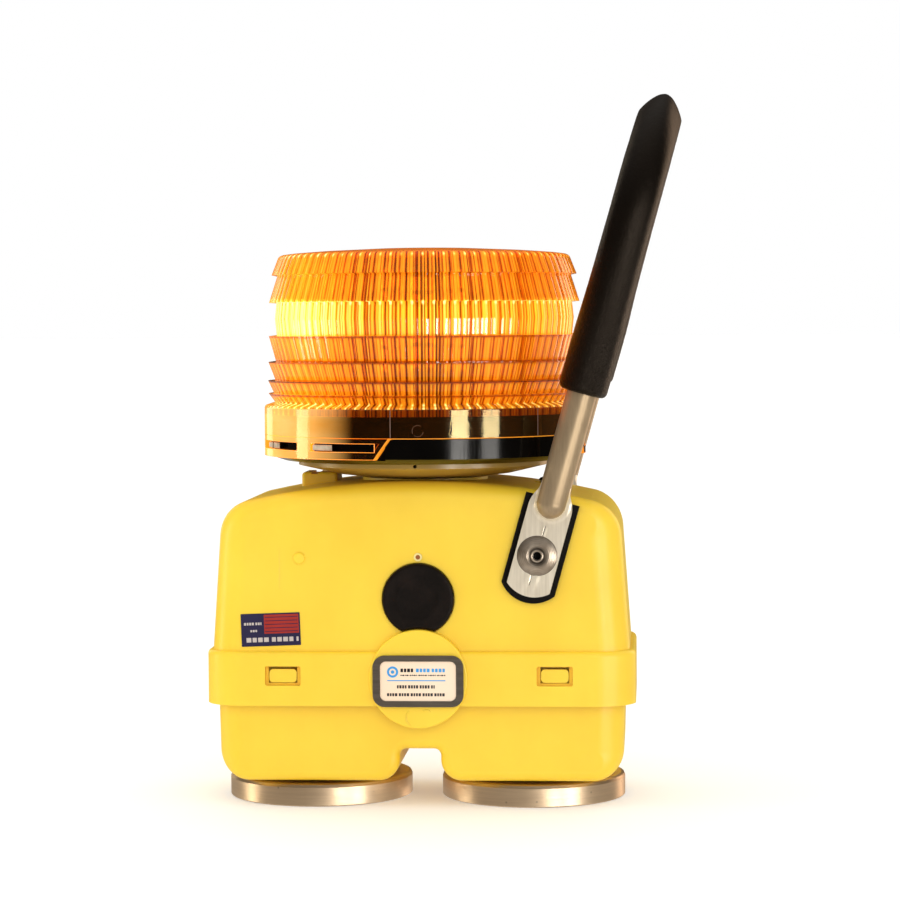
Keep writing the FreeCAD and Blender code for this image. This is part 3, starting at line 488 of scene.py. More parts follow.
def turned_metal(name, light, dark, centre_x, centre_z):
    """Rivet steel: a bright rolled hub round a bore painted black as shade, a groove painted dark as shade, and a
    stained flange that is darker towards its rim.
    """
    s = Shader(name, Metallic=0.85)
    x = s.math("SUBTRACT", s.axis("X"), centre_x)
    z = s.math("SUBTRACT", s.axis("Z"), centre_z)
    r = s.math("SQRT", s.math("ADD", s.times(x, x), s.times(z, z)))
    rings = s.linear(s.math("SINE", s.times(r, 9000.0)), 0.5, 0.5)
    stain = s.noise(260.0, 4.0)
    tone = s.linear(stain, 0.8, s.times(rings, 0.2))
    flange = s.mix(s.ramp(tone, (0.35, 0.0), (0.70, 1.0)), dark, light)
    # Painted shade: black in the bore, dark in the groove round the hub, darker towards the flange's rim.
    painted_shade_rings = s.ramp(s.math("DIVIDE", r, 0.01), (0.160, 0.0), (0.175, 1.0), (0.265, 1.0), (0.28, 0.10),
                  (0.33, 0.22), (0.42, 0.62), (0.60, 0.85), (0.80, 0.55), (0.84, 0.35))
    s.link(s.mix(1.0, flange, painted_shade_rings, "MULTIPLY"), "Base Color")
    s.link(s.linear(stain, 0.25, 0.24), "Roughness")
    s.link(s.bump(rings, 0.18, 0.0002), "Normal")
    return s.material


YELLOW = moulded("yellow plastic", (0.98, 0.672, 0.042), (0.93, 0.615, 0.032), 0.38, depth=0.18)
# Deeper orange-yellow for the latch ledges: painted shade in the gaps round the snap tongues.
SHADED_YELLOW = moulded("yellow plastic painted shade", (1.0, 0.52, 0.012), (0.95, 0.46, 0.010), 0.40, depth=0.4)
BLACK_PLASTIC = moulded("black plastic", (0.0022, 0.0018, 0.0015), (0.0012, 0.001, 0.0009), 0.12, shine=0.10)
TUBE = brushed("drawn tube", (0.48, 0.36, 0.22), (0.34, 0.25, 0.15), 0.40, (1.0, 1.0, 0.03), metallic=0.55)
# Paler copy of the tube metal for the pressed plate: painted light on its flat faces.
PLATE = brushed("pressed plate painted light", (0.98, 0.90, 0.74), (0.74, 0.66, 0.52), 0.32, (1.0, 1.0, 0.05), metallic=0.5)
RIVET = turned_metal("rivet steel", (0.78, 0.68, 0.56), (0.42, 0.34, 0.26), PIVOT.x * MM, PIVOT.z * MM)
BOOT = rubber("switch boot rubber", (0.0125, 0.0056, 0.0030), (0.0050, 0.0024, 0.0014), 0.50, 0.12)
# Dark colour for the crease strips: painted shade in the pinched grooves.
CREASE_SHADE = moulded("crease painted shade", (0.035, 0.028, 0.022), (0.015, 0.012, 0.010), 0.5)
MARK = moulded("mark flash", (0.10, 0.035, 0.010), (0.05, 0.018, 0.006), 0.35)
# Paler colour for the seam ridges: a painted highlight on the seams.
SEAM = moulded("seam painted highlight", (0.26, 0.15, 0.12), (0.18, 0.10, 0.075), 0.35)
GRIP = pebbled("pebbled sleeve")
REEDED = amber_reeds("amber reeds")
SKIRT = amber_skirt("amber skirt")
CROWN_AMBER = amber_crown("amber crown")
EDGE_GLOW = amber_edge("amber edge")
STICKER_FILM = moulded("sticker film", (0.020, 0.018, 0.075), (0.012, 0.010, 0.045), 0.18, coat=0.5)
# Pale colour for the lug caps: a painted highlight on the black lugs.
LUG = moulded("lug painted highlight", (0.60, 0.50, 0.36), (0.24, 0.18, 0.12), 0.30, mottle=300.0)
INK_DARK = moulded("dark ink", (0.03, 0.03, 0.035), (0.015, 0.015, 0.02), 0.3, grain=0.02)
INK_BLUE = moulded("blue ink", (0.055, 0.36, 0.80), (0.04, 0.30, 0.70), 0.3, grain=0.02)
INK_RED = moulded("red foil", (0.45, 0.035, 0.025), (0.32, 0.02, 0.015), 0.2, grain=0.02)
INK_PALE = moulded("pale ink", (0.60, 0.54, 0.50), (0.48, 0.42, 0.40), 0.3, grain=0.02)

BY_SLOT = {
    "yellow_plastic": YELLOW, "black_plastic": BLACK_PLASTIC, "amber_lens": REEDED,
    "aluminium_tube": TUBE, "black_grip": GRIP, "rivet_steel": RIVET, "foam": foamed("foam"),
    "circuit_board": circuit("circuit board"), "led_package": led_glow("lit diode"),
    "sticker_film": STICKER_FILM,
    "pale_yellow_plastic": moulded("pale yellow plastic", (0.42, 0.25, 0.038), (0.33, 0.19, 0.028), 0.30,
                                   mottle=40.0),
    "black_rubber": rubber("black rubber", (0.0035, 0.0024, 0.0018), (0.0016, 0.0012, 0.001), 0.50, 0.06),
    "nickel_plate": brushed("nickel plate", (0.84, 0.66, 0.46), (0.68, 0.52, 0.35), 0.40,
                            (0.04, 0.04, 1.0), scale=900.0, strength=0.06, spots=0.7),
    "ferrite": moulded("ferrite", (0.045, 0.045, 0.047), (0.025, 0.025, 0.027), 0.6, grain=0.3),
    "zinc_steel": brushed("zinc plate", (0.66, 0.66, 0.68), (0.42, 0.43, 0.45), 0.32, (1.0, 1.0, 1.0),
                          scale=300.0),
    "spring_steel": brushed("spring steel", (0.62, 0.62, 0.62), (0.40, 0.40, 0.42), 0.28, (1.0, 1.0, 0.2)),
    "contact_brass": brushed("contact brass", (0.80, 0.60, 0.24), (0.55, 0.38, 0.13), 0.26,
                             (0.05, 1.0, 1.0)),
    "battery_jacket": wrapped_cell("battery jacket"),
    "components": moulded("components", (0.05, 0.05, 0.06), (0.02, 0.02, 0.025), 0.35),
    "heat_sink": brushed("heat sink", (0.78, 0.77, 0.74), (0.55, 0.54, 0.52), 0.36, (1.0, 1.0, 0.04)),
    "label_frame_metal": brushed("label frame metal", (0.30, 0.27, 0.24), (0.19, 0.17, 0.15), 0.34,
                                 (0.05, 1.0, 1.0), scale=900.0),
    "label_film": moulded("label film", (0.96, 0.77, 0.59), (0.94, 0.73, 0.54), 0.22, grain=0.02),
    "red_insulation": moulded("red insulation", (0.55, 0.03, 0.02), (0.40, 0.02, 0.015), 0.30),
    "black_insulation": moulded("black insulation", (0.02, 0.02, 0.02), (0.012, 0.012, 0.012), 0.32),
    "sensor_window": moulded("sensor window", (0.40, 0.14, 0.04), (0.30, 0.09, 0.025), 0.15, coat=0.6),
    "cream_plastic": moulded("cream plastic", (0.95, 0.80, 0.34), (0.90, 0.72, 0.26), 0.35),
}
for row in frame["record"]["subparts"]:
    node = frame["nodes"][row["node"]]
    node.data.materials.clear()
    node.data.materials.append(BY_SLOT[row["material_slot"]])


# ---- lens ----
def reed(azimuth, depth):
    """How far the surface lies inside the reed crests at an azimuth."""
    u = (azimuth * REEDS / 360.0 + 0.5) % 1.0 * 2.0 - 1.0
    return depth * (1.0 - sqrt(max(0.0, 1.0 - 0.92 * u * u))) / (1.0 - sqrt(0.08))


def lens_drum():
    """Closed reeded drum: outer face with its ridges, crown, inner face and the skirt's step."""
    columns = REEDS * REED_STEPS
    outer = [(SKIRT_R - 0.35, SKIRT_EDGE, 0.0)]
    outer += [(r, z, 0.0) for r, z in refine([(SKIRT_R, SKIRT_EDGE + 0.35), (SKIRT_R, SKIRT_TOP)], 4.0)]
    outer += [(69.0, 168.3, 0.4)]
    outer += [(r, z, 1.0) for r, z in refine(RIDGES, 1.6)]
    outer += [(62.2, 232.5, 0.8), (61.0, 233.0, 0.35)]
    outer += [(r, z, 0.0) for r, z in refine(CROWN, 8.0)]
    inner = [(0.5, 233.3), (22.0, 232.9), (45.0, 231.8), (57.0, 230.8), (59.8, 230.0), (LENS_INNER_R, 228.0)]
    inner = [(r, z, 0.0) for r, z in refine(inner, 8.0)]
    inner += [(r, z, -1.0) for r, z in refine([(LENS_INNER_R, 226.0), (LENS_INNER_R, 170.0)], 8.0)]
    inner += [(LENS_INNER_R, 165.2, 0.0), (SKIRT_INNER_R, 165.2, 0.0), (SKIRT_INNER_R, SKIRT_EDGE, 0.0)]
    rows = outer + inner
    verts = []
    for r, z, reeded in rows:
        for j in range(columns):
            azimuth = 360.0 * j / columns
            if reeded >= 0.0:
                inset = reed(azimuth, REED_DEPTH * reeded)
            else:
                inset = -reed(azimuth + 180.0 / REEDS, 0.35)
            verts.append(polar(r - inset, azimuth, z))
    faces = grid_faces(len(rows), columns, closed_rows=True)
    indices = []
    for face in faces:
        low = min(verts[v][2] for v in face)
        high = max(verts[v][2] for v in face)
        r = max(hypot(verts[v][0], verts[v][1]) for v in face)
        if high < SKIRT_EDGE + 0.4:
            indices.append(3)
        elif high <= SKIRT_TOP + 0.4 and r > 66.0:
            indices.append(1)
        else:
            indices.append(2 if low > 229.0 and r < 61.2 else 0)
    return verts, faces, indices


def apron_segment(high):
    """Deep segment of the skirt with slanted ends and three slots, ending at azimuth high."""
    low = high - (APRON[1] - APRON[0])
    shift = high - APRON[1]
    cuts = sorted((a + shift, b + shift) for a, b in APRON_SLOTS)
    edges = sorted({SKIRT_LOW_EDGE, *SLOT_Z, SKIRT_EDGE + 0.2})
    stations = [low + (high - low) * i / 90.0 for i in range(91)]
    for a, b in cuts:
        stations += [a, b]
    stations += [low + 0.5, low + 1.6, high - 1.6, high - 0.5]
    stations = sorted(set(round(s, 3) for s in stations))
    verts = []
    faces = []
    edge_faces = []
    slant = 2.7
    centre, half = (low + high) / 2.0, (high - low) / 2.0

    def point(r, s, z):
        t = (z - SKIRT_LOW_EDGE) / (SKIRT_EDGE - SKIRT_LOW_EDGE)
        squeeze = (half + slant * (2.0 * t - 1.0)) / half
        off = abs(s - centre)
        if r == SKIRT_R and off > half - 0.3:
            r -= 0.9
        return polar(r, centre + (s - centre) * squeeze if off > half - 6.0 else s, z)

    index = {}

    def vertex(i, k, side):
        key = (i, k, side)
        if key not in index:
            index[key] = len(verts)
            verts.append(point(SKIRT_R if side else SKIRT_INNER_R, stations[i], edges[k]))
        return index[key]

    def quad(i, k, *corners):
        return [vertex(i + di, k + dk, side) for di, dk, side in corners]

    walls = {
        (-1, 0): ((0, 0, 0), (0, 0, 1), (0, 1, 1), (0, 1, 0)),
        (1, 0): ((1, 0, 1), (1, 0, 0), (1, 1, 0), (1, 1, 1)),
        (0, -1): ((0, 0, 0), (1, 0, 0), (1, 0, 1), (0, 0, 1)),
        (0, 1): ((0, 1, 1), (1, 1, 1), (1, 1, 0), (0, 1, 0)),
    }

    def is_solid(i, k):
        if not (0 <= i < len(stations) - 1 and 0 <= k < len(edges) - 1):
            return False
        mid = (stations[i] + stations[i + 1]) / 2.0
        return not (edges[k] == SLOT_Z[0] and any(a < mid < b for a, b in cuts))

    for i in range(len(stations) - 1):
        for k in range(len(edges) - 1):
            if not is_solid(i, k):
                continue
            at_end = stations[i + 1] > high - 1.0 or stations[i] < low + 1.0
            target = edge_faces if at_end else faces
            target.append(quad(i, k, (0, 0, 1), (1, 0, 1), (1, 1, 1), (0, 1, 1)))
            faces.append(quad(i, k, (0, 1, 0), (1, 1, 0), (1, 0, 0), (0, 0, 0)))
            for (di, dk), wall in walls.items():
                if not is_solid(i + di, k + dk):
                    edge_faces.append(quad(i, k, *wall))
    return verts, faces + edge_faces, [0] * len(faces) + [1] * len(edge_faces)


LENS_LOOKS = [REEDED, SKIRT, CROWN_AMBER, EDGE_GLOW]
add_piece("lens_drum", "lens", lens_drum(), LENS_LOOKS, ["lens"], 24.0)
for name, high in (("front", APRON[1]), ("rear", APRON[1] + 180.0)):
    add_piece(f"lens_apron_{name}", "lens", apron_segment(high), [SKIRT, EDGE_GLOW])


def ridge_strip(points, width, proud):
    """Low rounded ridge along surface points given as (position, outward, sideways)."""
    verts = []
    for position, outward, sideways in points:
        for u, h in ((-1.0, -0.3), (-0.6, 0.5), (0.0, 1.0), (0.6, 0.5), (1.0, -0.3)):
            verts.append(Vector(position) + Vector(outward) * h * proud + Vector(sideways) * u * width / 2.0)
    return verts, rod_faces(len(points), 5)


def strip_group(strips):
    """Gather ridge strips into one mesh."""
    verts, faces = [], []
    for strip_verts, strip_faces in strips:
        first = len(verts)
        verts.extend(strip_verts)
        faces.extend([[first + v for v in face] for face in strip_faces])
    return verts, faces


def on_skirt(azimuth, z, a):
    """Point of a line on the skirt that runs in direction a, 0 round the skirt and 90 degrees up."""
    side = Vector(polar(1.0, azimuth + 90.0, 0.0)) * -sin(a) + Vector((0, 0, 1)) * cos(a)
    return (polar(SKIRT_R, azimuth, z), polar(1.0, azimuth, 0.0), side)


def seams():
    """Two fine seams on each side of the skirt, paler than the skirt: a painted highlight."""
    strips = []
    for azimuth in SEAM_AZIMUTHS:
        line = [on_skirt(azimuth, z, pi / 2.0) for z in (SKIRT_EDGE + 0.5, 160.0, 164.0, SKIRT_TOP)]
        strips.append(ridge_strip(line, 0.28, 0.08))
    return strip_group(strips)


def round_mark():
    """Small round moulding mark near the front of the skirt."""
    strips = []
    centre, mark_z, r = SKIRT_MARK
    for start, span in ((60.0, 150.0), (230.0, 120.0)):
        angles = [radians(start + span * i / 12.0) for i in range(13)]
        loop = [on_skirt(centre + degrees(r * cos(a) / SKIRT_R), mark_z + r * sin(a), a + pi / 2.0)
                for a in angles]
        strips.append(ridge_strip(loop, 0.28, 0.06))
    return strip_group(strips)


def slot_rims():
    """Lit edges of the apron's slots and of its lower edge."""
    strips = []
    for turn in (0.0, 180.0):
        rims = [(a, b, z) for a, b in APRON_SLOTS for z in SLOT_Z]
        rims.append((APRON[0] + 3.0, APRON[1] - 3.0, SKIRT_LOW_EDGE + 0.2))
        for a, b, z in rims:
            count = max(4, int((b - a) / 1.5))
            line = [on_skirt(a + (b - a) * i / count + turn, z, 0.0) for i in range(count + 1)]
            strips.append(ridge_strip(line, 0.26, 0.05))
        for azimuth in (a for slot in APRON_SLOTS for a in slot):
            line = [on_skirt(azimuth + turn, z, pi / 2.0) for z in (SLOT_Z[0], 152.5, SLOT_Z[1])]
            strips.append(ridge_strip(line, 0.35, 0.05))
    return strip_group(strips)


add_piece("skirt_seams", "lens", seams(), [SEAM], sharp=60.0)
add_piece("skirt_mark", "lens", round_mark(), [MARK], sharp=60.0)
add_piece("slot_rims", "lens", slot_rims(), [EDGE_GLOW], sharp=60.0)


def bayonet_lug_highlights():
    """Pale caps over the bayonet lugs that show in the skirt's slots; their pale colour is a painted highlight on
    the black lugs.
    """
    bottom, top = LUG_Z
    section = [(68.55, bottom), (68.75, bottom + 0.3), (68.75, top - 0.3), (68.55, top), (68.2, top),
               (68.2, bottom)]
    count = 8
    verts, faces = [], []
    for turn in (0.0, 180.0):
        for low, high in LUG_AZIMUTHS:
            first = len(verts)
            for i in range(count + 1):
                azimuth = low + (high - low) * i / count + turn
                verts += [polar(r, azimuth, z) for r, z in section]
            faces += rod_faces(count + 1, 6, first)
    return verts, faces


add_piece("bayonet_lug_highlights", "upper_case", bayonet_lug_highlights(), [LUG], sharp=30.0)


# ---- handle sleeve ----
def on_handle(x, y, along):
    """Point of the handle drawn upright above the pivot, leaned to its rest tilt."""
    a = radians(HANDLE_TILT)
    return (PIVOT.x + x * cos(a) + along * sin(a), y, PIVOT.z - x * sin(a) + along * cos(a))


def sleeve():
    """Foam-vinyl sleeve round the bail's top, with rounded ends, a swell at each foot and a pinched bend."""
    leg = BEND_Z - GRIP_START
    rear_leg = leg - REAR_FOOT_RISE
    arc = pi * LEG_Y
    total = leg + arc + rear_leg
    stations = [0.0, 0.25, 0.8, 1.6, END_ROUND]
    count = 330
    stations += [END_ROUND + (total / 2.0 - END_ROUND) * i / count for i in range(1, count + 1)]
    stations += [total - s for s in reversed(stations[:-1])]
    columns = 72
    angles = [tau * j / columns for j in range(columns)]
    verts = []
    for s in stations:
        from_foot = min(s, total - s)
        if s < leg:
            centre, out, along = (-LEG_Y, GRIP_START + s), (-1.0, 0.0), 0.0
        elif s > total - rear_leg:
            centre, out, along = (LEG_Y, GRIP_START + REAR_FOOT_RISE + total - s), (1.0, 0.0), 0.0
        else:
            a = (s - leg) / LEG_Y
            out = (-cos(a), sin(a))
            centre = (LEG_Y * out[0], BEND_Z + LEG_Y * out[1])
            along = sin(a)
        t = min(1.0, from_foot / leg)
        r = GRIP_FOOT_R + (GRIP_TOP_R - GRIP_FOOT_R) * t
        r += 0.35 * exp(-((from_foot - 22.0) / 16.0) ** 2)
        if from_foot < END_ROUND:
            r -= END_ROUND - sqrt(END_ROUND ** 2 - (END_ROUND - from_foot) ** 2)
        for b in angles:
            pinch = 1.0 - 0.38 * along ** 3 * max(0.0, cos(b)) ** 0.9
            ripple = 0.10 * noise.noise((s * 0.05, b * 1.2, 3.1))
            ripple += 0.05 * noise.noise((s * 0.6, b * 6.0, 7.7))
            x, off = (r + ripple) * sin(b) * pinch, (r + ripple) * cos(b)
            verts.append(on_handle(x, centre[0] + out[0] * off, centre[1] + out[1] * off))
    faces = grid_faces(len(stations), columns)
    bore = TUBE_R + 0.1
    ends = ((0, -1.0, GRIP_START), ((len(stations) - 1) * columns, 1.0, GRIP_START + REAR_FOOT_RISE))
    for edge, sign, foot in ends:
        rings = [edge, len(verts), len(verts) + columns]
        for depth in (0.0, 6.0):
            verts += [on_handle(bore * sin(b), sign * (LEG_Y + bore * cos(b)), foot + depth) for b in angles]
        cap = [(a + j, c + j, c + (j + 1) % columns, a + (j + 1) % columns)
               for a, c in zip(rings, rings[1:]) for j in range(columns)]
        cap.append([rings[-1] + j for j in range(columns)])
        faces += cap if sign < 0.0 else [face[::-1] for face in cap]
    return verts, faces


add_piece("grip_sleeve", "handle", sleeve(), [GRIP], ["handle_grip"], 60.0)


def smooth_rise(value, start):
    """0 up to the start, easing to 1 where the bail is fully round."""
    t = min(1.0, max(0.0, (value - start) / (ROUND_FROM - start)))
    return t * t * (3.0 - 2.0 * t)


def foot_section(along, fractions):
    """Half-section of the bail at a height above the pivot: (across, out in front, out behind)."""
    blend = smooth_rise(along, BLEND_FROM)
    half_width = PLATE_HALF_WIDTH + (TUBE_R + 0.15 - PLATE_HALF_WIDTH) * smooth_rise(along, WING_FROM)
    reach = 1.0
    if along < PLATE_BOTTOM + 3.6:
        rise = PLATE_END_R - (along - PLATE_BOTTOM)
        reach = min(1.0, sqrt(PLATE_END_R ** 2 - rise ** 2) / PLATE_HALF_WIDTH)
    face = PLATE_Y + PLATE_HALF_THICK - LEG_Y
    back = PLATE_Y - PLATE_HALF_THICK - LEG_Y
    points = []
    for angle, share in fractions:
        if share == 0.0:
            x = TUBE_R * sin(angle)
        else:
            start = TUBE_R * sin(radians(FLANK))
            x = start + (half_width - start) * share
        d = hypot(x, min(0.0, along - DOME_START))
        if d <= TUBE_R:
            front = sqrt(TUBE_R ** 2 - d * d)
        elif d < TUBE_R - face:
            front = -sqrt(max(0.0, face ** 2 - (TUBE_R - face - d) ** 2))
        else:
            front = face
        if share == 1.0:
            front = min(front, face) - 0.3
        crease = max(0.0, 1.0 - ((abs(along) - 10.6) / 2.3) ** 4)
        front += crease * 0.12 * exp(-((x - 0.5) / 0.25) ** 2)
        if along < 0.0:
            front += 0.28 * exp(-((x - 1.9) / 1.1) ** 2 - ((along + 10.5) / 3.0) ** 2)
        round_x = TUBE_R * sin(angle)
        round_out = TUBE_R * cos(angle)
        points.append((x * reach + (round_x - x * reach) * blend, front + (round_out - front) * blend,
                       back + (-round_out - back) * blend))
    return points


def bail_tube():
    """Bail bent from one tube: two pressed foot plates, domed swells, straight legs and the top bend."""
    inner = [(asin(x / TUBE_R), 0.0) for x in (0.0, 0.12, 0.24, 0.4, 0.65)]
    inner += [(radians(10.0 + 6.8 * i), 0.0) for i in range(11)]
    shares = (0.06, 0.13, 0.22, 0.32, 0.44, 0.58, 0.74, 0.90, 0.97, 1.0)
    outer = [(radians(FLANK + 12.0 * u), u) for u in shares]
    fractions = inner + outer
    heights = [PLATE_BOTTOM + h for h in (0.004, 0.03, 0.1, 0.25, 0.5, 0.9, 1.4, 2.0, 2.7, 3.45, 3.7)]
    crease = [8.0, 8.3, 8.6, 9.0, 10.0, 11.0, 12.0, 12.4, 12.7, 12.9, 13.2]
    heights += [-h for h in reversed(crease)] + [-5.0, 0.0, 5.0] + crease
    heights += [13.4 + 0.22 * i for i in range(42)]
    heights += [22.7 + 0.52 * i for i in range(17)] + [34.0, 45.0, 60.0, 80.0, 100.0, 120.0, BEND_Z]
    rings = [(-1.0, h, foot_section(h, fractions)) for h in heights]
    rings += [(pi * i / 30.0, None, foot_section(BEND_Z, fractions)) for i in range(1, 30)]
    rings += [(1.0, h, foot_section(h, fractions)) for h in reversed(heights)]
    verts, drawn = [], []
    for place, height, section in rings:
        if height is None:
            out = (-cos(place), sin(place))
            centre = (LEG_Y * out[0], BEND_Z + LEG_Y * out[1])
        else:
            out = (place, 0.0)
            centre = (LEG_Y * place, height)
        loop = [(x, front) for x, front, back in section]
        loop += [(x, back) for x, front, back in reversed(section)]
        loop += [(-x, back) for x, front, back in section[1:]]
        loop += [(-x, front) for x, front, back in reversed(section[1:])]
        for x, off in loop:
            verts.append(on_handle(x, centre[0] + out[0] * off, centre[1] + out[1] * off))
            domed = height is None or hypot(x, min(0.0, height - DOME_START)) < TUBE_R - 0.25
            drawn.append(height is None or height > ROUND_FROM or (domed and off > -2.0))
    columns = 4 * len(fractions) - 2
    faces = [face[::-1] for face in grid_faces(len(rings), columns)]
    last = (len(rings) - 1) * columns
    faces += [list(range(columns)), list(range(last, last + columns))[::-1]]
    # Round faces take the tube metal, flat pressed faces its paler copy, painted light.
    indices = [0 if all(drawn[v] for v in face) else 1 for face in faces]
    return verts, faces, indices


add_piece("bail_tube", "handle", bail_tube(), [TUBE, PLATE], ["handle_tube"], 30.0)


def crease_lines():
    """Dark strips in the pinched creases above and below each rivet: painted shade."""
    verts, faces = [], []
    for place in (-1.0, 1.0):
        face = PLATE_Y + PLATE_HALF_THICK
        for low, high in ((-12.9, -8.5), (8.5, 12.9)):
            first = len(verts)
            for along, half in ((low, 0.06), (low + 0.6, 0.15), (high - 0.6, 0.15), (high, 0.06)):
                for x, out in ((-half, 0.0), (-half, 0.045), (half, 0.045), (half, 0.0)):
                    verts.append(on_handle(x, place * (face + out), along))
            ring = rod_faces(4, 4, first)
            faces += ring if place < 0.0 else [quad[::-1] for quad in ring]
    return verts, faces


add_piece("crease_lines", "handle", crease_lines(), [CREASE_SHADE], sharp=30.0)


def pivot_rivets():
    """Blind rivets: a rolled hub round the open bore, a domed flange, and the set tail inside the hood."""
    face = PLATE_Y + PLATE_HALF_THICK + 0.02
    head = [(0.02, 0.08), (1.4, 0.08), (1.68, 0.2), (1.75, 1.2), (1.9, 1.62), (2.25, 1.72), (2.55, 1.6),
            (2.7, 1.2), (2.8, 0.75), (3.1, 0.70), (3.6, 0.95), (4.2, 1.14), (4.9, 1.16), (5.5, 1.06),
            (6.1, 0.92), (6.7, 0.74), (7.2, 0.55), (7.7, 0.34), (8.1, 0.16), (8.35, 0.05), (8.4, 0.0),
            (2.9, 0.0), (2.2, -1.1), (0.02, -1.1)]
    tail = [(0.02, 0.0), (2.3, 0.0), (2.3, -4.1), (4.1, -4.3), (4.1, -5.8), (3.0, -7.0), (1.2, -7.0),
            (1.0, -5.0), (0.02, -5.0)]
    columns = 64
    verts, faces = [], []
    for sign in (-1.0, 1.0):
        for outline, base in ((head, face), (tail, 43.3)):
            ring = grid_faces(len(outline), columns, closed_rows=True, first=len(verts))
            faces += ring if sign < 0.0 else [quad[::-1] for quad in ring]
            verts += lathed(outline, columns,
                            lambda x, z, out: (PIVOT.x + x, sign * (base + out), PIVOT.z + z))
    return verts, faces


add_piece("pivot_rivets", "upper_case", pivot_rivets(), [RIVET], ["handle_rivets"], 40.0)


# ---- switch boot ----
def boot_rim(angle, r, boss_r):
    """Distance from the boot's centre to its edge, with the round boss biting the lower edge."""
    drop = BUTTON_Z - BOSS_Z
    along = -drop * sin(angle)
    miss = drop ** 2 - along ** 2
    if along > 0.0 and miss < boss_r ** 2:
        return min(r, along - sqrt(boss_r ** 2 - miss))
    return r


def switch_boot():
    """Soft cap with a rolled edge, a shallow dished face and a moulded ring."""
    face_y, root_y = -45.7, -43.4
    columns = 192
    profile = [(0.02, 0.30), (0.25, 0.29), (0.45, 0.26), (0.55, 0.24), (0.57, 0.20), (0.60, 0.20),
               (0.62, 0.23), (0.72, 0.18), (0.82, 0.12), (0.90, 0.04), (0.935, 0.05), (0.955, 0.16),
               (0.975, 0.36), (0.99, 0.68), (1.0, 1.1), (1.0, 2.3)]
    verts = []
    for share, depth in profile:
        for j in range(columns):
            a = tau * j / columns
            rim = boot_rim(a, BUTTON_R, BOSS_R + 0.35)
            rr = rim * share if share > 0.9 else min(rim * 0.9, BUTTON_R * share)
            sag = 0.08 * noise.noise((rr * 0.2 * cos(a), rr * 0.2 * sin(a), 1.7))
            verts.append((rr * cos(a), min(face_y + depth + sag, root_y), BUTTON_Z + rr * sin(a)))
    faces = grid_faces(len(profile), columns)
    faces.append(list(range(columns))[::-1])
    last = (len(profile) - 1) * columns
    faces.append(list(range(last, last + columns)))
    return verts, faces


add_piece("switch_boot", "button", switch_boot(), [BOOT], ["button_boot"], 40.0)


# ---- moulding details of the hood ----
def latch_liners():
    """Shallow yellow ledges that close most of the gap round each snap tongue's hook, coloured a deeper
    orange-yellow as painted shade in the gap.
    """
    verts, faces = [], []
    ledges = [(-7.48, -6.0, 52.12, 60.28), (6.0, 7.48, 52.12, 60.28), (-6.0, 6.0, 52.12, 53.2),
              (-6.0, 6.0, 59.95, 60.28)]
    for sign in (-1.0, 1.0):
        for x in (-LATCH_X, LATCH_X):
            for low_x, high_x, low_z, high_z in ledges:
                corners = [(low_x, low_z), (high_x, low_z), (high_x, high_z), (low_x, high_z)]
                first = len(verts)
                for y in (44.9, 43.6):
                    verts += [(x + u, sign * y, w) for u, w in corners]
                cube = grid_faces(2, 4, first=first)
                cube += [[first + i for i in (3, 2, 1, 0)], [first + i for i in (4, 5, 6, 7)]]
                faces += cube if sign > 0.0 else [list(reversed(quad)) for quad in cube]
    return verts, faces


add_piece("latch_ledges", "upper_case", latch_liners(), [SHADED_YELLOW], sharp=30.0)


def hood_marks():
    """Gate crescents at the foot of the boss and a faint flow line beside the left plug."""
    strips = []
    for x, z, r, start, span in ((-1.6, 38.9, 3.6, 130.0, 110.0), (3.4, 40.6, 1.6, 20.0, 120.0)):
        angles = [radians(start + span * i / 10.0) for i in range(11)]
        loop = [((x + r * cos(a), -47.0, z + r * sin(a)), FORWARD, (cos(a), 0.0, sin(a))) for a in angles]
        strips.append(ridge_strip(loop, 0.9, 0.22))
    line = [((-58.4, -43.48, z), FORWARD, (1.0, 0.0, 0.0)) for z in (92.0, 98.0, 104.0, 110.0)]
    strips.append(ridge_strip(line, 0.5, 0.10))
    return strip_group(strips)


add_piece("hood_marks", "upper_case", hood_marks(), [YELLOW], sharp=60.0)


def plug_cap():
    """Low black cap of the hood's shoulder plug."""
    low, high, centre = in_mm(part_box("shoulder_plug"))
    centre_x = high.x - 2.6
    outline = [(0.02, high.z - 0.4), (1.2, high.z - 0.5), (2.1, high.z - 0.9), (2.5, high.z - 1.5),
               (2.5, low.z + 6.2), (1.9, low.z + 6.1), (1.9, low.z), (0.02, low.z)]
    columns = 40
    verts = lathed(outline, columns, lambda x, y, z: (centre_x + x, centre[1] + y, z))
    return verts, [face[::-1] for face in grid_faces(len(outline), columns, closed_rows=True)]


add_piece("plug_cap", "upper_case", plug_cap(), [BLACK_PLASTIC], ["shoulder_plug"], 30.0)


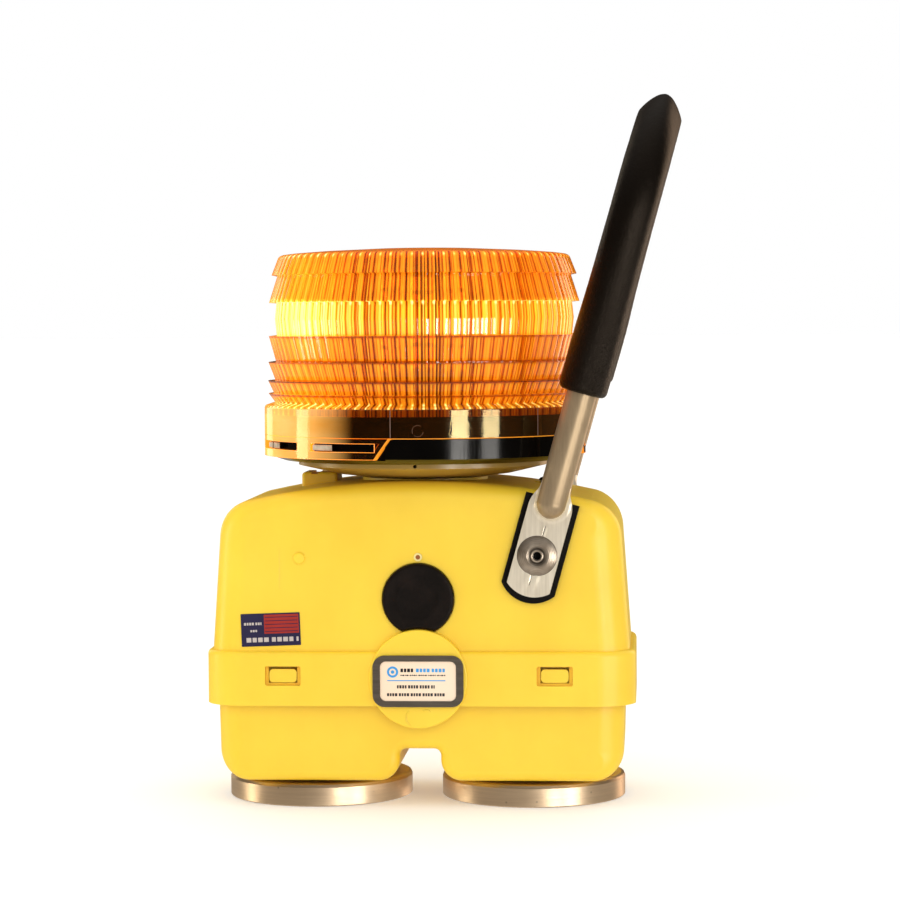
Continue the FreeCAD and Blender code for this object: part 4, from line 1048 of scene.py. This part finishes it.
# ---- printed films and moulding marks ----
class Layer:
    """Flat raised shapes in an (x, z) plane, gathered into one mesh."""

    def __init__(self, face_y, thick, centre, turn=0.0):
        self.face_y, self.thick = face_y, thick
        self.centre, self.turn = centre, radians(turn)
        self.verts, self.faces = [], []

    def outline(self, points):
        start = len(self.verts)
        count = len(points)
        for y in (self.face_y, self.face_y - self.thick):
            for x, z in points:
                u = x * cos(self.turn) - z * sin(self.turn)
                w = x * sin(self.turn) + z * cos(self.turn)
                self.verts.append((self.centre[0] + u, y, self.centre[2] + w))
        self.faces.append([start + count + i for i in range(count)])
        self.faces.append([start + i for i in reversed(range(count))])
        for i in range(count):
            k = (i + 1) % count
            self.faces.append([start + i, start + k, start + count + k, start + count + i])

    def bar(self, x, z, width, height, r=0.12):
        a, b = width / 2.0, height / 2.0
        r = min(r, a, b)
        points = []
        corners = ((a - r, b - r, 0), (-a + r, b - r, 90), (-a + r, -b + r, 180), (a - r, -b + r, 270))
        for cx, cz, start in corners:
            for t in (radians(start + turn) for turn in (0, 30, 60, 90)):
                points.append((x + cx + r * cos(t), z + cz + r * sin(t)))
        self.outline(points)

    def ring(self, x, z, r_out, r_in):
        step = 9
        for start in range(0, 360, step):
            a, b = radians(start), radians(start + step)
            corners = ((r_in, a), (r_out, a), (r_out, b), (r_in, b))
            self.outline([(x + r * cos(t), z + r * sin(t)) for r, t in corners])

    def dashes(self, x0, x1, z, height, widths, gap=0.35):
        """A row of short dashes that stands for a line of print."""
        x = x0
        i = 0
        while x < x1 - 0.3:
            w = min(widths[i % len(widths)], x1 - x)
            self.bar(x + w / 2.0, z, w, height)
            x += w + gap * (2.2 if i % 4 == 3 else 1.0)
            i += 1

    def piece(self, name, slot, material):
        add_piece(name, "upper_case", (self.verts, self.faces), [material], sharp=40.0)


low, high, centre = in_mm(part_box("label_plate"))
dark = Layer(low.y, 0.05, centre)
dark.dashes(-7.3, -2.0, 4.6, 1.5, (1.1, 1.0, 1.2))
dark.dashes(-7.3, 11.6, 2.5, 0.55, (0.5, 0.8, 0.4, 0.9, 0.6), 0.25)
dark.dashes(-8.8, 7.0, -2.3, 1.35, (0.7, 0.9, 0.8), 0.3)
dark.dashes(-13.0, 11.2, -5.6, 1.25, (0.9, 0.7, 0.8, 1.0), 0.3)
dark.piece("label_print_dark", "label_film", INK_DARK)
blue = Layer(low.y, 0.05, centre)
blue.dashes(-0.8, 11.4, 4.6, 1.5, (1.2, 1.0, 1.1), 0.4)
blue.ring(-10.6, 3.9, 2.35, 1.45)
blue.bar(-10.6, 3.9, 1.5, 1.5, 0.75)
blue.bar(-0.7, 0.3, 24.4, 0.4)
blue.piece("label_print_blue", "label_film", INK_BLUE)

low, high, centre = in_mm(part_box("side_sticker"))
panel = Layer(low.y, 0.05, centre, 2.0)
panel.bar(4.6, 2.3, 14.6, 8.0, 0.1)
panel.piece("sticker_panel", "sticker_film", INK_RED)
pattern = Layer(low.y - 0.05, 0.04, centre, 2.0)
for row in range(5):
    pattern.bar(4.6, 5.2 - 1.5 * row, 13.8, 0.28, 0.05)
pattern.piece("sticker_stripes", "sticker_film", STICKER_FILM)
print_layer = Layer(low.y, 0.05, centre, 2.0)
print_layer.dashes(-11.2, -3.8, 2.6, 1.1, (0.9, 0.7, 0.8), 0.3)
print_layer.dashes(-8.6, -5.6, -0.4, 0.9, (0.7, 0.8), 0.3)
print_layer.dashes(-10.4, 11.6, -4.2, 1.9, (2.0, 1.7, 1.9), 0.6)
print_layer.piece("sticker_print", "sticker_film", INK_PALE)


# ---- stage, lights and camera ----
def softbox(name, azimuth, distance, low, high, width, radiance, colour, glossy=True):
    """Upright soft light at an azimuth, which only reflections or only matt surfaces take up."""
    data = bpy.data.lights.new(name, "AREA")
    data.shape = "RECTANGLE"
    data.size, data.size_y = width, high - low
    data.energy, data.color = radiance * pi * width * (high - low), colour
    lamp = new_object(name, data)
    lamp.location = polar(distance, azimuth, (low + high) / 2.0)
    lamp.rotation_euler = Euler((radians(90.0), 0.0, radians(azimuth)))
    lamp.visible_diffuse = not glossy
    lamp.visible_glossy = glossy
    lamp.visible_transmission = False


WINDOW_LIGHT = (1.0, 0.96, 0.90)
softbox("window_near", 28.1, 1.5, -0.30, 0.135, 0.31, 32.0, WINDOW_LIGHT)
softbox("window_far", 50.5, 1.5, -0.30, 0.135, 0.32, 24.0, WINDOW_LIGHT)
softbox("left_window", -90.9, 1.3, -0.30, 0.135, 0.285, 9.0, (1.0, 0.88, 0.68))
softbox("right_window", 140.0, 1.4, -0.30, 0.9, 0.36, 3.0, (1.0, 0.70, 0.48))
softbox("rear_window", 218.0, 1.5, 0.02, 1.1, 0.40, 1.6, (1.0, 0.86, 0.66))
softbox("front_fill", 20.0, 2.0, 0.4, 2.0, 1.6, 0.9, WINDOW_LIGHT, False)
softbox("left_fill", -80.0, 1.6, 0.1, 1.3, 0.8, 1.6, WINDOW_LIGHT, False)


def studio_world():
    """White surroundings, seen in reflections as a dim warm room with a bright ceiling."""
    world = bpy.data.worlds.new("studio")
    world.use_nodes = True
    world.cycles.sampling_method = "NONE"
    w = Nodes(world.node_tree, "Generated")
    room = w.ramp(w.linear(w.axis("Z"), 0.5, 0.5), (0.0, (0.62, 0.56, 0.50)), (0.40, (0.56, 0.50, 0.43)),
                  (0.455, (0.24, 0.20, 0.15)), (0.485, (0.06, 0.045, 0.032)), (0.60, (0.045, 0.036, 0.028)),
                  (0.75, (0.12, 0.10, 0.085)), (1.0, (0.60, 0.57, 0.53)))
    rays = w.add("ShaderNodeLightPath").outputs
    white = w.mix(rays["Is Diffuse Ray"], (1.0, 1.0, 1.0), (1.0, 0.985, 0.96))
    shade = w.mix(rays["Is Glossy Ray"], white, room)
    w.tree.links.new(shade, w.tree.nodes["Background"].inputs["Color"])
    return world


bpy.context.scene.world = studio_world()
bpy.context.scene.view_settings.view_transform = "Standard"

paint = Shader("pale floor", Roughness=0.8, Emission_Color=rgb((1.0, 1.0, 1.0)), Emission_Strength=0.20)
paint.link(paint.mix(paint.noise(4.0, 3.0), (0.93, 0.93, 0.93), (0.96, 0.96, 0.955)), "Base Color")
floor_mesh = bpy.data.meshes.new("floor")
corners = [(x * 40.0, y * 40.0, -0.0002) for x, y in ((-1, -1), (1, -1), (1, 1), (-1, 1))]
floor_mesh.from_pydata(corners, [], [(0, 1, 2, 3)])
floor_mesh.materials.append(paint.material)
floor = new_object("floor", floor_mesh)
floor.visible_glossy = False

yaw, pitch, roll = CAMERA_TURN
forward = Vector((sin(yaw) * cos(pitch), cos(yaw) * cos(pitch), sin(pitch)))
right = Vector((cos(yaw), -sin(yaw), 0.0))
up = right.cross(forward)
level_right = right * cos(roll) + up * sin(roll)
level_up = up * cos(roll) - right * sin(roll)
camera_data = bpy.data.cameras.new("camera")
camera_data.lens = CAMERA_LENS
camera_data.sensor_width = 36.0
camera = new_object("camera", camera_data)
turned = Matrix((level_right, level_up, -forward)).transposed().to_4x4()
camera.matrix_world = Matrix.Translation(CAMERA_AT) @ turned
bpy.context.scene.camera = camera
